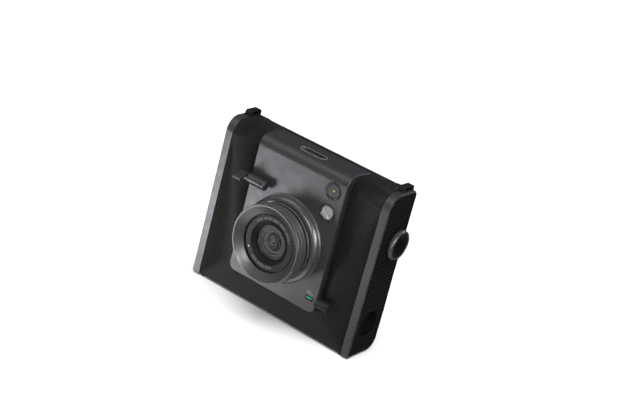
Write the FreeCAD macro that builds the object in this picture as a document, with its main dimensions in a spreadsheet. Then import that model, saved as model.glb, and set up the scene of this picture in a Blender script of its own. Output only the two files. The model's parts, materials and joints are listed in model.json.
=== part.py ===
import FreeCAD, Part
import math
import os

import Sketcher

# An instant camera with a digital back, standing on its feet.
# Frame: X to the right seen from the front, Y towards the back, Z up, millimetres.
# The origin is at the middle of the base, level with the underside of the feet.

DIMENSIONS = {
    # casing
    "half_width": 69.7,
    "base_level": 1.3,
    "top_level": 120.8,
    "front_face": -5.5,
    "rear_top": 24.2,
    "rear_middle": 25.1,
    "low_rear_face": 26.0,
    "door_seat": 23.6,
    "rear_slope_top": 55.0,
    "rear_slope_foot": 30.0,
    "split_face": 22.0,
    "case_wall": 1.8,
    "side_wall": 2.0,
    "skin_thickness": 1.1,
    "side_skin": 0.45,
    "top_front_radius": 10.0,
    "top_rear_radius": 3.4,
    "low_rear_radius": 8.0,
    "low_front_radius": 1.2,
    "slack": 0.1,
    # strap eyes
    "eye_inner": 63.2,
    "eye_outer": 67.9,
    "eye_front": 8.5,
    "eye_rear": 21.8,
    "eye_top": 125.0,
    # side trims
    "trim_width": 6.0,
    "trim_proud": 0.4,
    "trim_thickness": 1.4,
    # face plate
    "plate_half": 37.75,
    "plate_face": -10.37,
    "plate_foot": 19.9,
    "plate_top": 122.4,
    "plate_end_face": 14.3,
    "plate_end_level": 121.3,
    "plate_wall": 1.2,
    "plate_corner": 5.5,
    "plate_bend": 8.0,
    "plate_hollow_top": 112.0,
    # film exit
    "exit_half": 55.0,
    "exit_front": 14.8,
    "exit_slot": 1.5,
    "exit_level": 120.5,
    # lens, measured from the lens axis
    "lens_level": 60.28,
    "lens_front": -31.9,
    "barrel_radius": 24.5,
    "neck_radius": 26.35,
    "ring_radius": 27.9,
    "collar_radius": 30.6,
    "flange_radius": 31.3,
    "cone_mouth": 26.2,
    "cone_throat": 20.7,
    "glass_radius": 12.0,
    "running_gap": 0.05,
    # flash and mirror
    "flash_across": 27.9,
    "flash_level": 108.4,
    "mirror_across": 27.7,
    "mirror_level": 92.7,
    # shutter lever
    "shutter_face": -14.8,
    "shutter_level": 90.9,
    "shutter_radius": 3.5,
    "lever_reach": 10.0,
    "housing_inner": -20.9,
    "housing_outer": -35.9,
    "paddle_inner": -36.3,
    "paddle_outer": -42.6,
    # wide lever
    "wide_face": -7.6,
    "wide_level": 30.0,
    "wide_shaft": 1.0,
    "wide_inner": 38.05,
    "wide_outer": 48.5,
    # effects dial
    "dial_back": 15.4,
    "dial_level": 83.6,
    "dial_radius": 11.0,
    "dial_height": 4.0,
    # print crank
    "crank_back": 9.5,
    "crank_level": 23.9,
    "crank_well": 9.6,
    # port well and its flap
    "port_front": 3.8,
    "port_rear": 14.2,
    "port_foot": 25.2,
    "port_head": 54.8,
    "flap_across": -68.6,
    "flap_level": 25.9,
    # door latch
    "latch_back": 12.0,
    "latch_foot": 84.4,
    "latch_head": 91.4,
    # film door
    "door_half": 61.5,
    "door_foot": 8.4,
    "door_top": 111.8,
    "door_face": 31.4,
    "button_face": 31.9,
    "door_front": 24.0,
    "door_wall": 1.8,
    "hinge_back": 25.6,
    "hinge_level": 6.7,
    "pin_radius": 0.8,
    # screen and buttons
    "screen_left": -26.5,
    "screen_right": 58.0,
    "screen_foot": 38.0,
    "screen_head": 98.0,
    "pad_across": -43.5,
    "pad_level": 60.0,
    "pad_radius": 9.2,
    "ok_radius": 3.9,
    "key_radius": 3.4,
    "outer_keys": -51.0,
    "inner_key": -36.0,
    "lower_keys": 82.0,
    "upper_key": 98.0,
    # film chamber and feed
    "chamber_half": 59.6,
    "chamber_front": 4.6,
    "chamber_foot": 7.6,
    "chamber_top": 107.6,
    "roller_level": 112.6,
    "roller_radius": 2.6,
    "drive_back": 12.85,
    "pinch_back": 18.35,
    "roller_shaft": 1.2,
    "motor_back": 6.5,
    "motor_level": 111.3,
    "motor_radius": 3.2,
    # base
    "socket_back": 9.0,
    "socket_radius": 3.175,
    "socket_depth": 5.0,
    "screw_across": 65.2,
    "screw_radius": 0.8,
    "screw_low": 11.0,
    "screw_middle": 62.0,
    "screw_high": 108.8,
    "post_radius": 1.9,
}

doc = FreeCAD.newDocument("InstantCamera")
sheet = doc.addObject("Spreadsheet::Sheet", "Dims")


class Size:
    """A length that remembers the sheet expression it comes from."""

    def __init__(self, value, text):
        self.value = value
        self.text = text

    def __float__(self):
        return float(self.value)

    def __add__(self, other):
        return Size(float(self) + float(other), f"({self.text} + {text_of(other)})")

    def __sub__(self, other):
        return Size(float(self) - float(other), f"({self.text} - {text_of(other)})")

    def __mul__(self, other):
        return Size(float(self) * float(other), f"({self.text} * {text_of(other)})")

    def __neg__(self):
        return self * -1

    __radd__ = __add__
    __rmul__ = __mul__

    def __rsub__(self, other):
        return -self + other


def text_of(size):
    return size.text if isinstance(size, Size) else repr(size)


class Dimensions:
    """Every sheet alias as an attribute."""


def fill_sheet():
    sizes = Dimensions()
    for row, (alias, value) in enumerate(DIMENSIONS.items(), start=1):
        sheet.set(f"A{row}", alias)
        sheet.set(f"B{row}", str(value))
        sheet.setAlias(f"B{row}", alias)
        setattr(sizes, alias, Size(value, f"Dims.{alias}"))
    doc.recompute()
    return sizes


d = fill_sheet()
NODES = {}


def node(name, obj):
    """Register a finished sub-part under its own name."""
    obj.Label = name
    NODES[name] = obj
    return obj


def bind(obj, prop, size):
    obj.setExpression(prop, text_of(size))


def move(obj, x=0, y=0, z=0):
    for axis, size in (("x", x), ("y", y), ("z", z)):
        bind(obj, f"Placement.Base.{axis}", size)


def ordered(pair):
    return pair if float(pair[0]) < float(pair[1]) else (pair[1], pair[0])


def block(name, x, y, z):
    """A box between two limits on each axis."""
    box = doc.addObject("Part::Box", name)
    limits = [ordered(pair) for pair in (x, y, z)]
    for prop, (low, high) in zip(("Length", "Width", "Height"), limits):
        bind(box, prop, high - low)
    move(box, *(low for low, high in limits))
    return box


AXES = {
    "X": FreeCAD.Vector(1, 0, 0),
    "Y": FreeCAD.Vector(0, 1, 0),
    "Z": FreeCAD.Vector(0, 0, 1),
}


def rod(name, axis, radius, along, centre):
    """A cylinder along an axis; centre gives its two other coordinates."""
    low, high = ordered(along)
    cylinder = doc.addObject("Part::Cylinder", name)
    bind(cylinder, "Radius", radius)
    bind(cylinder, "Height", high - low)
    turn = FreeCAD.Rotation(AXES["Z"], AXES[axis])
    cylinder.Placement = FreeCAD.Placement(FreeCAD.Vector(), turn)
    place = list(centre)
    place.insert("XYZ".index(axis), low)
    move(cylinder, *place)
    return cylinder


def join(name, *parts):
    fused = doc.addObject("Part::MultiFuse", name)
    fused.Shapes = list(parts)
    return fused


def cut(name, base, *tools):
    result = doc.addObject("Part::Cut", name)
    result.Base = base
    result.Tool = tools[0] if len(tools) == 1 else join(f"{name}_tools", *tools)
    return result


def pick_edges(shape, wanted):
    return [f"Edge{i}" for i, edge in enumerate(shape.Edges, start=1) if wanted(edge)]


def soften(body, radius, wanted, kind="Fillet"):
    """Round or chamfer the edges of a body's last feature that are wanted."""
    doc.recompute()
    base = body.Tip
    names = pick_edges(base.Shape, wanted)
    if not names:
        raise ValueError(f"no edge to soften on {body.Name}")
    feature = body.newObject(f"PartDesign::{kind}", f"{body.Name}_{kind}")
    feature.Base = (base, names)
    bind(feature, "Radius" if kind == "Fillet" else "Size", radius)
    body.Tip = feature
    return feature


def draw(sketch, outline):
    """Close an outline of points with lines; every point is held by the sheet."""
    points = [(point[0], point[1]) for point in outline]
    vectors = [FreeCAD.Vector(float(u), float(v), 0) for u, v in points]
    for start, end in zip(vectors, vectors[1:] + vectors[:1]):
        sketch.addGeometry(Part.LineSegment(start, end), False)
    count = len(points)
    for i in range(count):
        sketch.addConstraint(Sketcher.Constraint("Coincident", i, 2, (i + 1) % count, 1))
    for i, pair in enumerate(points):
        for kind, axis_line, size in zip(("DistanceX", "DistanceY"), (-2, -1), pair):
            if abs(float(size)) < 1e-9:
                sketch.addConstraint(Sketcher.Constraint("PointOnObject", i, 1, axis_line))
                continue
            constraint = Sketcher.Constraint(kind, -1, 1, i, 1, float(size))
            index = sketch.addConstraint(constraint)
            sketch.setExpression(f"Constraints[{index}]", text_of(size))


def new_sketch(name, plane):
    body = doc.addObject("PartDesign::Body", name)
    origin_plane = next(f for f in body.Origin.OriginFeatures if f.Role == f"{plane}_Plane")
    sketch = body.newObject("Sketcher::SketchObject", f"{name}_sketch")
    sketch.AttachmentSupport = [(origin_plane, "")]
    sketch.MapMode = "FlatFace"
    return body, sketch


# sketch plane, its normal, and which two coordinates a sketch point gives
PLANES = {"X": ("YZ", 1), "Y": ("XZ", -1), "Z": ("XY", 1)}


def profile(name, axis, outline, along):
    """Pad an outline along an axis; a point's third value rounds its corner."""
    low, high = ordered(along)
    plane, sign = PLANES[axis]
    body, sketch = new_sketch(name, plane)
    draw(sketch, outline)
    bind(sketch, "AttachmentOffset.Base.z", low if sign > 0 else -high)
    pad = body.newObject("PartDesign::Pad", f"{name}_pad")
    pad.Profile = sketch
    bind(pad, "Length", high - low)
    body.Tip = pad
    keep = [i for i in range(3) if i != "XYZ".index(axis)]
    corners = {}
    for point in outline:
        if len(point) > 2:
            corners.setdefault(text_of(point[2]), (point[2], []))[1].append(point)
    for radius, points in corners.values():
        spots = [(float(p[0]), float(p[1])) for p in points]

        def is_corner(edge):
            if len(edge.Vertexes) != 2:
                return False
            ends = [(vertex.Point[keep[0]], vertex.Point[keep[1]]) for vertex in edge.Vertexes]
            return any(all(math.dist(end, spot) < 1e-4 for end in ends) for spot in spots)

        soften(body, radius, is_corner)
    return body


def turned(name, axis, centre, outline):
    """Revolve an outline of (along, radius) points about an axis through centre."""
    body, sketch = new_sketch(name, "XZ" if axis == "Z" else "XY")
    if axis == "X":
        draw(sketch, [(point[0], point[1]) for point in outline])
    else:
        draw(sketch, [(point[1], point[0]) for point in outline])
    revolution = body.newObject("PartDesign::Revolution", f"{name}_turned")
    revolution.Profile = sketch
    revolution.ReferenceAxis = (sketch, ["H_Axis" if axis == "X" else "V_Axis"])
    revolution.Angle = 360.0
    body.Tip = revolution
    keep = "XYZ".index(axis)
    for point in outline:
        if len(point) < 3:
            continue
        spot = (float(point[0]), float(point[1]))

        def is_rim(edge):
            circle = edge.Curve
            if not hasattr(circle, "Radius"):
                return False
            return math.dist((circle.Center[keep], circle.Radius), spot) < 1e-4

        soften(body, point[2], is_rim)
    place = list(centre)
    place.insert(keep, 0)
    move(body, *place)
    return body


def casing(front, top, base, rear):
    """The casing's side outline, drawn in by these amounts, with rounded corners."""
    return [
        (d.front_face + front, d.base_level + base, d.low_front_radius),
        (d.front_face + front, d.top_level - top, d.top_front_radius - front),
        (d.rear_top - rear, d.top_level - top, d.top_rear_radius - rear),
        (d.rear_middle - rear, d.rear_slope_top),
        (d.low_rear_face - rear, d.rear_slope_foot),
        (d.low_rear_face - rear, d.base_level + base, d.low_rear_radius - base),
    ]


def wrap(outer, inner, base, end):
    """A strip that climbs the front and folds back over the top."""
    front = d.front_face
    top = d.top_level
    radius = d.top_front_radius
    return [
        (front - outer, base),
        (front - outer, top + outer, radius + outer),
        (end, top + outer),
        (end, top - inner),
        (front + inner, top - inner, radius - inner),
        (front + inner, base),
    ]


SKIN_BACK = d.skin_thickness + d.slack
FAR = 200.0
LENS_AXIS = (0, d.lens_level)


def build_front_cover():
    """The main case: front, top, base and both sides in one moulding."""
    shell = profile(
        "front_case_outer",
        "X",
        casing(SKIN_BACK, SKIN_BACK, 0, 0),
        (-d.half_width + d.side_skin + 0.05, d.half_width - d.side_skin - 0.05),
    )
    inset = SKIN_BACK + d.case_wall
    inner_half = d.half_width - d.side_skin - 0.05 - d.side_wall
    cavity = profile(
        "front_case_cavity",
        "X",
        casing(inset, inset, d.case_wall, d.case_wall),
        (-FAR, inner_half),
    )
    behind = block(
        "behind_split", (-FAR, FAR), (d.split_face, FAR), (-FAR, FAR)
    )
    lens_hole = rod(
        "lens_hole", "Y", d.barrel_radius + 0.5, (d.front_face, d.chamber_front), LENS_AXIS
    )
    slot = block(
        "film_slot",
        (-d.exit_half - d.slack, d.exit_half + d.slack),
        (d.exit_front, FAR),
        (d.roller_level, FAR),
    )
    socket_hole = rod(
        "socket_hole", "Z", 5.05, (0.0, d.base_level + 3.0), (0, d.socket_back)
    )
    wall_out = d.half_width + 1
    wall_in = inner_half - 1
    dial_hole = rod(
        "dial_hole", "X", 4.05, (wall_in, wall_out), (d.dial_back, d.dial_level)
    )
    hollow = cut(
        "front_case_hollow",
        shell,
        cavity,
        behind,
        lens_hole,
        slot,
        socket_hole,
        dial_hole,
    )
    extras = [
        rod(
            "crank_cup",
            "X",
            d.crank_well + 1.2,
            (64.2, inner_half + 0.5),
            (d.crank_back, d.crank_level),
        )
    ]
    cores = [
        rod(
            "crank_well",
            "X",
            d.crank_well,
            (65.3, wall_out),
            (d.crank_back, d.crank_level),
        ),
        rod("crank_bore", "X", 2.05, (60.0, wall_out), (d.crank_back, d.crank_level)),
    ]
    return cut("front_case", join("front_case_cup", hollow, *extras), *cores)


def port_opening(name, across):
    """The hole that the port flap lies in."""
    ahead = d.port_front - 0.3
    behind = d.port_rear + 0.3
    return block(name, across, (ahead, behind), (d.port_foot - 0.6, d.port_head + 0.2))


def latch_opening(name, across):
    """The slot that the latch's neck slides in."""
    half = 1.7
    sides = (d.latch_back - half, d.latch_back + half)
    return block(name, across, sides, (d.latch_foot - 0.3, d.latch_head + 2.6))


def build_left_cheek():
    """Flat left wall, let into the open end of the front cover."""
    inset = SKIN_BACK + d.case_wall + 0.05
    edge = d.case_wall + 0.05
    outside = d.half_width - d.side_skin - 0.05
    plate = profile(
        "left_cheek_plate",
        "X",
        casing(inset, inset, edge, edge),
        (-outside, d.side_wall - outside),
    )
    across = (-outside - 1, d.side_wall - outside + 1)
    return cut(
        "left_wall",
        plate,
        block("cheek_end", (-FAR, FAR), (d.split_face, FAR), (-FAR, FAR)),
        port_opening("port_hole", across),
        rod(
            "port_hinge_hole",
            "Y",
            0.55,
            (d.port_front - 0.9, d.port_rear + 0.9),
            (d.flap_across, d.flap_level),
        ),
        latch_opening("latch_slot", across),
    )


def build_screw_posts():
    """Threaded posts behind the front wall that the case screws bite in."""
    foot = d.front_face + SKIN_BACK + d.case_wall + 0.05
    posts = []
    bores = []
    for i, (side, level) in enumerate(SCREW_PLACES):
        centre = (side * d.screw_across, level)
        ends = (foot, d.split_face - 0.05)
        posts.append(rod(f"post_{i}", "Y", d.post_radius, ends, centre))
        bores.append(
            rod(f"post_bore_{i}", "Y", d.screw_radius + 0.05, (10.0, FAR), centre)
        )
    return cut("threaded_posts", join("post_blanks", *posts), *bores)


SCREW_LEVELS = (d.screw_low, d.screw_middle, d.screw_high)
SCREW_PLACES = [(side, level) for side in (-1, 1) for level in SCREW_LEVELS]


def build_rear_cover():
    """The rear frame around the film door, with the hinge lugs."""
    body = profile(
        "rear_case_outer", "X", casing(0, 0, 0, 0), (-d.half_width, d.half_width)
    )
    ahead = block(
        "ahead_of_split", (-FAR, FAR), (-FAR, d.split_face + 0.05), (-FAR, FAR)
    )
    recess_half = d.door_half + 0.4
    recess = block(
        "door_recess",
        (-recess_half, recess_half),
        (d.door_seat, FAR),
        (d.hinge_level - 1.9, d.door_top + 0.4),
    )
    film_half = d.chamber_half - 1.0
    mouth = block("film_mouth", (-film_half, film_half), (0, FAR), (8.8, 106.5))
    lip_gap = block(
        "lip_gap",
        (-d.exit_half - d.slack, d.exit_half + d.slack),
        (0, FAR),
        (113.3, FAR),
    )
    recesses = [ahead, recess, mouth, lip_gap]
    for i, (side, level) in enumerate(SCREW_PLACES):
        centre = (side * d.screw_across, level)
        recesses.append(rod(f"screw_hole_{i}", "Y", 0.95, (0, FAR), centre))
        recesses.append(rod(f"screw_seat_{i}", "Y", 1.75, (22.75, FAR), centre))
    frame = cut("rear_case_frame", body, *recesses)
    hinge = (d.hinge_back, d.hinge_level)
    lugs = []
    for side in (-1, 1):
        ends = (side * 50.4, side * 53.4)
        lugs.append(rod(f"lug_eye_{side}", "X", 1.4, ends, hinge))
        lugs.append(
            block(
                f"lug_foot_{side}",
                ends,
                (d.split_face + 1.0, d.hinge_back),
                (d.hinge_level - 1.4, d.hinge_level + 1.4),
            )
        )
    bore = rod("lug_bore", "X", d.pin_radius + 0.03, (-54.0, 54.0), hinge)
    return cut("rear_case", join("rear_case_lugs", frame, *lugs), bore)


def build_front_skin():
    """Grip sheet over the front and the top, cut away under the face plate."""
    half = d.half_width - d.trim_width - d.slack
    sheet_body = profile(
        "front_skin_sheet",
        "X",
        wrap(0, d.skin_thickness, d.base_level + 0.6, d.split_face - 0.1),
        (-half, half),
    )
    under_plate = block(
        "under_plate", (-36.4, 36.4), (-FAR, d.exit_front - 2.0), (21.2, FAR)
    )
    slot = block(
        "skin_slot",
        (-d.exit_half - 0.2, d.exit_half + 0.2),
        (d.exit_front - 0.1, FAR),
        (d.roller_level, FAR),
    )
    return cut("front_grip", sheet_body, under_plate, slot)


def build_side_skin(side):
    """Grip sheet on one side, with holes for what comes through it."""
    name = "right" if side > 0 else "left"
    inner = side * (d.half_width - d.side_skin)
    panel = profile(
        f"{name}_skin_sheet",
        "X",
        casing(SKIN_BACK + 0.1, SKIN_BACK + 0.1, 0.3, 0),
        (inner, side * d.half_width),
    )
    tools = [block(f"{name}_skin_end", (-FAR, FAR), (d.split_face - 0.1, FAR), (-FAR, FAR))]
    across = (side * 68.0, side * 71.0)
    if side > 0:
        tools.append(rod("skin_dial_hole", "X", 4.3, across, (d.dial_back, d.dial_level)))
        tools.append(
            rod(
                "skin_crank_hole",
                "X",
                d.crank_well,
                across,
                (d.crank_back, d.crank_level),
            )
        )
    else:
        tools.append(port_opening("skin_port_hole", across))
        tools.append(latch_opening("skin_latch_hole", across))
    return cut(f"{name}_grip", panel, *tools)


def build_trim(side):
    """Metal strip up one front edge and back over the top."""
    inner = d.trim_thickness - d.trim_proud
    name = "right_strip" if side > 0 else "left_strip"
    body = profile(
        name,
        "X",
        wrap(d.trim_proud, inner, d.base_level, d.split_face),
        (side * (d.half_width - d.trim_width), side * d.half_width),
    )

    def is_face_edge(edge):
        box = edge.BoundBox
        flat_front = box.YMax < float(d.front_face) and box.ZLength > 50
        return flat_front and abs(box.YMin - float(d.front_face - d.trim_proud)) < 1e-3

    soften(body, 0.3, is_face_edge)
    return body


def build_face_plate():
    """Metal face plate, a hollow tray that folds over the top edge."""
    back = d.front_face - 0.05
    top_back = d.top_level + 0.05
    body = profile(
        "plate_blank",
        "X",
        [
            (back, d.plate_foot),
            (d.plate_face, d.plate_foot),
            (d.plate_face, d.plate_top, d.plate_bend),
            (1.0, d.plate_top),
            (d.plate_end_face, d.plate_end_level),
            (d.plate_end_face, top_back),
            (back, top_back, d.top_front_radius + 0.05),
        ],
        (-d.plate_half, d.plate_half),
    )

    def is_low_corner(edge):
        box = edge.BoundBox
        at_side = abs(abs(box.XMin) - float(d.plate_half)) < 1e-3 and box.XLength < 1e-3
        return at_side and box.ZMax < float(d.plate_foot) + 1e-3

    def is_front_rim(edge):
        box = edge.BoundBox
        return box.YMax < float(d.plate_face) + 1e-3 and box.ZMin < float(d.plate_top) - 9

    soften(body, d.plate_corner, is_low_corner)
    soften(body, 0.6, is_front_rim)
    inner = d.plate_half - d.plate_wall
    hollow = block(
        "plate_hollow",
        (-inner, inner),
        (d.plate_face + d.plate_wall, d.front_face + 2),
        (d.plate_foot + d.plate_wall, d.plate_hollow_top),
    )
    through = (d.plate_face - 5, d.front_face)
    lens_hole = rod("plate_lens_hole", "Y", d.barrel_radius + 0.3, through, LENS_AXIS)
    flash_hole = rod(
        "plate_flash_hole", "Y", 5.6, through, (d.flash_across, d.flash_level)
    )
    mirror_hole = rod(
        "plate_mirror_hole", "Y", 5.4, through, (d.mirror_across, d.mirror_level)
    )
    window_hole = block("plate_window_hole", (28.3, 34.6), through, (28.3, 31.3))
    shaft_hole = rod(
        "plate_shaft_hole",
        "X",
        d.wide_shaft + d.running_gap,
        (30.0, 45.0),
        (d.wide_face, d.wide_level),
    )
    return cut(
        "plate_shell",
        body,
        hollow,
        lens_hole,
        flash_hole,
        mirror_hole,
        window_hole,
        shaft_hole,
        pill("plate_pill_hole", 10.2, 3.0, (119.5, 125.0)),
    )


def pill(name, half_length, half_depth, levels):
    """An upright block with round ends, as the top indicator has."""
    back = -0.5
    straight = half_length - half_depth
    parts = [
        block(
            f"{name}_middle",
            (-straight, straight),
            (back - half_depth, back + half_depth),
            levels,
        )
    ]
    for side in (-1, 1):
        parts.append(
            rod(f"{name}_end_{side}", "Z", half_depth, levels, (side * straight, back))
        )
    return join(name, *parts)


def build_exit_lip():
    """Rear lip of the film exit, turned down over the back edge."""
    front = d.exit_front + d.exit_slot
    rear = d.rear_top - 0.3
    return profile(
        "exit_lip",
        "X",
        [
            (front, d.exit_level - 1.7),
            (front, d.exit_level, 0.4),
            (rear, d.exit_level, d.top_rear_radius - 0.3),
            (rear, 113.5),
            (d.split_face + 0.1, 113.5),
            (d.split_face + 0.1, d.exit_level - 1.7, 2.0),
        ],
        (-d.exit_half, d.exit_half),
    )


def build_strap_lugs():
    """Two strap eyes standing on the ends of the trims."""
    lugs = []
    low = d.top_level + d.trim_proud
    for side in (-1, 1):
        arch = profile(
            f"lug_arch_{side + 1}",
            "X",
            [
                (d.eye_front, low),
                (d.eye_front + 0.8, d.eye_top, 1.4),
                (d.eye_rear - 0.8, d.eye_top, 1.4),
                (d.eye_rear, low),
            ],
            (side * d.eye_inner, side * d.eye_outer),
        )
        slot = profile(
            f"lug_slot_{side + 1}",
            "X",
            [
                (d.eye_front + 2.7, d.eye_top - 3.0, 0.6),
                (d.eye_front + 2.7, d.eye_top - 1.2, 0.6),
                (d.eye_rear - 2.6, d.eye_top - 1.2, 0.6),
                (d.eye_rear - 2.6, d.eye_top - 3.0, 0.6),
            ],
            (side * 60.0, side * 71.0),
        )
        lugs.append(cut(f"lug_{side + 1}", arch, slot))
    return join("lug_pair", *lugs)


def build_feet():
    pads = []
    for i, (across, back) in enumerate(
        (across, back) for across in (-62.0, 62.0) for back in (-2.3, 15.0)
    ):
        pads.append(rod(f"foot_{i}", "Z", 1.6, (0.0, d.base_level), (across, back)))
    return join("foot_set", *pads)


def build_tripod_socket():
    low = d.base_level
    return turned(
        "socket_bush",
        "Z",
        (0, d.socket_back),
        [
            (low, d.socket_radius),
            (low, 5.0),
            (low + 1.9, 5.0),
            (low + 1.9, 7.0),
            (low + 5.8, 7.0),
            (low + 5.8, 0),
            (low + d.socket_depth, 0),
            (low + d.socket_depth, d.socket_radius),
        ],
    )


def build_screws():
    """Six rear cover screws, heads down in their seats."""
    screws = []
    for i, (side, level) in enumerate(SCREW_PLACES):
        centre = (side * d.screw_across, level)
        head = rod(f"screw_head_{i}", "Y", 1.65, (22.8, 23.5), centre)
        shank = rod(f"screw_shank_{i}", "Y", d.screw_radius, (15.0, 22.8), centre)
        drive = [
            block(
                f"screw_drive_{i}_{j}",
                (side * d.screw_across - wide, side * d.screw_across + wide),
                (23.2, 24.0),
                (level - tall, level + tall),
            )
            for j, (wide, tall) in enumerate(((1.0, 0.2), (0.2, 1.0)))
        ]
        screws.append(cut(f"screw_{i}", join(f"screw_blank_{i}", head, shank), *drive))
    return join("screw_set", *screws)


def build_lens():
    """Everything on the lens axis, from the collar to the sensor."""
    front = d.lens_front
    inner_tube = d.glass_radius + 0.15
    collar = turned(
        "collar",
        "Y",
        LENS_AXIS,
        [
            (d.plate_face - 0.05, d.barrel_radius + 0.1),
            (d.plate_face - 0.05, d.flange_radius),
            (-11.2, d.flange_radius),
            (-11.5, d.flange_radius - 0.3),
            (-11.5, d.collar_radius + 0.2),
            (-11.8, d.collar_radius),
            (-16.3, d.collar_radius, 4.1),
            (-16.3, d.barrel_radius + 0.1),
        ],
    )
    barrel = turned(
        "barrel",
        "Y",
        LENS_AXIS,
        [
            (front + 2.85, d.neck_radius - 1.45),
            (front + 2.85, d.neck_radius),
            (front + 7.7, d.neck_radius),
            (front + 7.7, d.neck_radius + 0.55),
            (-22.0, d.neck_radius + 0.55),
            (-22.0, d.neck_radius - 0.15),
            (-19.6, d.neck_radius - 0.15),
            (-19.6, d.neck_radius + 0.45),
            (-18.2, d.neck_radius + 0.45),
            (-18.2, d.neck_radius - 0.15),
            (-16.4, d.neck_radius - 0.15),
            (-16.4, d.barrel_radius),
            (-2.4, d.barrel_radius),
            (-2.4, 28.0),
            (-1.0, 28.0),
            (-1.0, 22.9),
            (-20.5, 22.9),
            (-20.5, 14.0),
            (1.8, 14.0),
            (1.8, inner_tube),
            (-22.9, inner_tube),
            (-22.9, d.neck_radius - 1.45),
        ],
    )
    ring_bore = d.neck_radius + d.running_gap
    ring = turned(
        "ring",
        "Y",
        LENS_AXIS,
        [
            (front + 0.6, ring_bore),
            (front + 0.6, d.ring_radius - 0.3),
            (front + 0.9, d.ring_radius),
            (front + 4.0, d.ring_radius),
            (front + 4.0, d.ring_radius - 0.6),
            (front + 4.4, d.ring_radius - 0.6),
            (front + 4.4, d.ring_radius),
            (front + 7.2, d.ring_radius),
            (front + 7.58, d.ring_radius - 0.4),
            (front + 7.58, ring_bore),
        ],
    )
    bezel = turned(
        "bezel",
        "Y",
        LENS_AXIS,
        [
            (front, d.cone_mouth),
            (front, d.cone_mouth + 0.8),
            (front + 0.3, d.cone_mouth + 1.1),
            (front + 0.48, d.cone_mouth + 1.1),
            (front + 0.48, d.neck_radius),
            (front + 2.83, d.neck_radius),
            (front + 2.83, d.neck_radius - 1.5),
            (front + 4.5, d.neck_radius - 1.5),
            (front + 4.5, d.cone_throat),
            (front + 4.1, d.cone_throat),
        ],
    )
    marks = turned(
        "marks",
        "Y",
        LENS_AXIS,
        [
            (front + 4.55, d.neck_radius - 1.55),
            (front + 4.55, 20.2),
            (front + 6.1, 20.2),
            (front + 6.1, 19.4),
            (front + 5.2, 19.4),
            (front + 5.2, 15.4),
            (front + 6.9, d.glass_radius + 0.05),
            (front + 8.95, d.glass_radius + 0.05),
            (front + 8.95, d.neck_radius - 1.55),
        ],
    )
    window = turned(
        "window",
        "Y",
        LENS_AXIS,
        [
            (-24.9, 0),
            (-24.75, 5.0),
            (-24.5, 9.0),
            (-24.2, d.glass_radius),
            (-23.0, d.glass_radius),
            (-23.0, 0),
        ],
    )
    retainer = turned(
        "retainer",
        "Y",
        LENS_AXIS,
        [
            (-22.85, d.glass_radius + 0.1),
            (-22.85, 10.6),
            (-21.9, 10.2),
            (-21.9, 8.9),
            (-20.9, 8.5),
            (-20.9, 6.6),
            (-19.5, 6.2),
            (-19.5, d.glass_radius + 0.1),
        ],
    )
    front_element = turned(
        "front_element",
        "Y",
        LENS_AXIS,
        [
            (-20.4, 0),
            (-20.1, 3.5),
            (-19.45, 6.1),
            (-19.45, d.glass_radius + 0.1),
            (-16.5, d.glass_radius + 0.1),
            (-16.5, 0),
        ],
    )
    carrier = turned(
        "carrier",
        "Y",
        LENS_AXIS,
        [
            (-12.0, 8.0),
            (-12.0, d.glass_radius + 0.08),
            (-5.0, d.glass_radius + 0.08),
            (-5.0, 8.0),
        ],
    )
    rear_element = turned(
        "rear_element",
        "Y",
        LENS_AXIS,
        [
            (-10.8, 0),
            (-10.0, 7.95),
            (-7.0, 7.95),
            (-6.6, 0),
        ],
    )
    board_half = 13.0
    board = block(
        "sensor_plate",
        (-board_half, board_half),
        (2.6, 3.6),
        (d.lens_level - board_half, d.lens_level + board_half),
    )
    chip = block(
        "sensor_chip",
        (-4.5, 4.5),
        (1.4, 2.6),
        (d.lens_level - 3.5, d.lens_level + 3.5),
    )
    node("lens_collar", collar)
    node("lens_barrel", barrel)
    node("control_ring", ring)
    node("lens_bezel", bezel)
    node("name_ring", marks)
    node("front_glass", window)
    node("lens_retainer", retainer)
    node("front_lens", front_element)
    node("focus_carrier", carrier)
    node("rear_lens", rear_element)
    node("sensor_board", join("sensor", board, chip))


def build_flash():
    centre = (d.flash_across, d.flash_level)
    face = d.plate_face
    bezel = turned(
        "flash_surround",
        "Y",
        centre,
        [
            (face - 0.05, 5.5),
            (face - 0.05, 6.2),
            (face - 0.7, 6.0),
            (face - 0.9, 5.6),
            (face - 0.9, 5.2),
            (face - 0.3, 4.9),
            (face + 2.0, 4.9),
            (face + 2.0, 5.5),
        ],
    )
    window = turned(
        "flash_cover",
        "Y",
        centre,
        [
            (face - 0.45, 0),
            (face - 0.25, 4.85),
            (face + 0.4, 4.85),
            (face + 0.4, 0),
        ],
    )
    lamp = turned(
        "flash_lamp",
        "Y",
        centre,
        [
            (face + 0.7, 0),
            (face + 0.7, 1.3),
            (face + 1.5, 1.3),
            (face + 0.7, 4.2),
            (face + 0.7, 4.85),
            (face + 2.2, 4.85),
            (face + 2.2, 0),
        ],
    )
    node("flash_bezel", bezel)
    node("flash_window", window)
    node("flash_led", lamp)


def build_mirror():
    centre = (d.mirror_across, d.mirror_level)
    face = d.plate_face
    bezel = turned(
        "mirror_surround",
        "Y",
        centre,
        [
            (face - 0.05, 5.3),
            (face - 0.05, 6.0),
            (face - 0.5, 5.8),
            (face - 0.7, 5.4),
            (face - 0.7, 5.0),
            (face - 0.2, 4.7),
            (face + 1.8, 4.7),
            (face + 1.8, 5.3),
        ],
    )
    mirror = turned(
        "mirror_disc",
        "Y",
        centre,
        [
            (face - 0.6, 0),
            (face - 0.5, 2.4),
            (face - 0.05, 4.65),
            (face + 1.4, 4.65),
            (face + 1.4, 0),
        ],
    )
    node("mirror_bezel", bezel)
    node("selfie_mirror", mirror)


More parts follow.
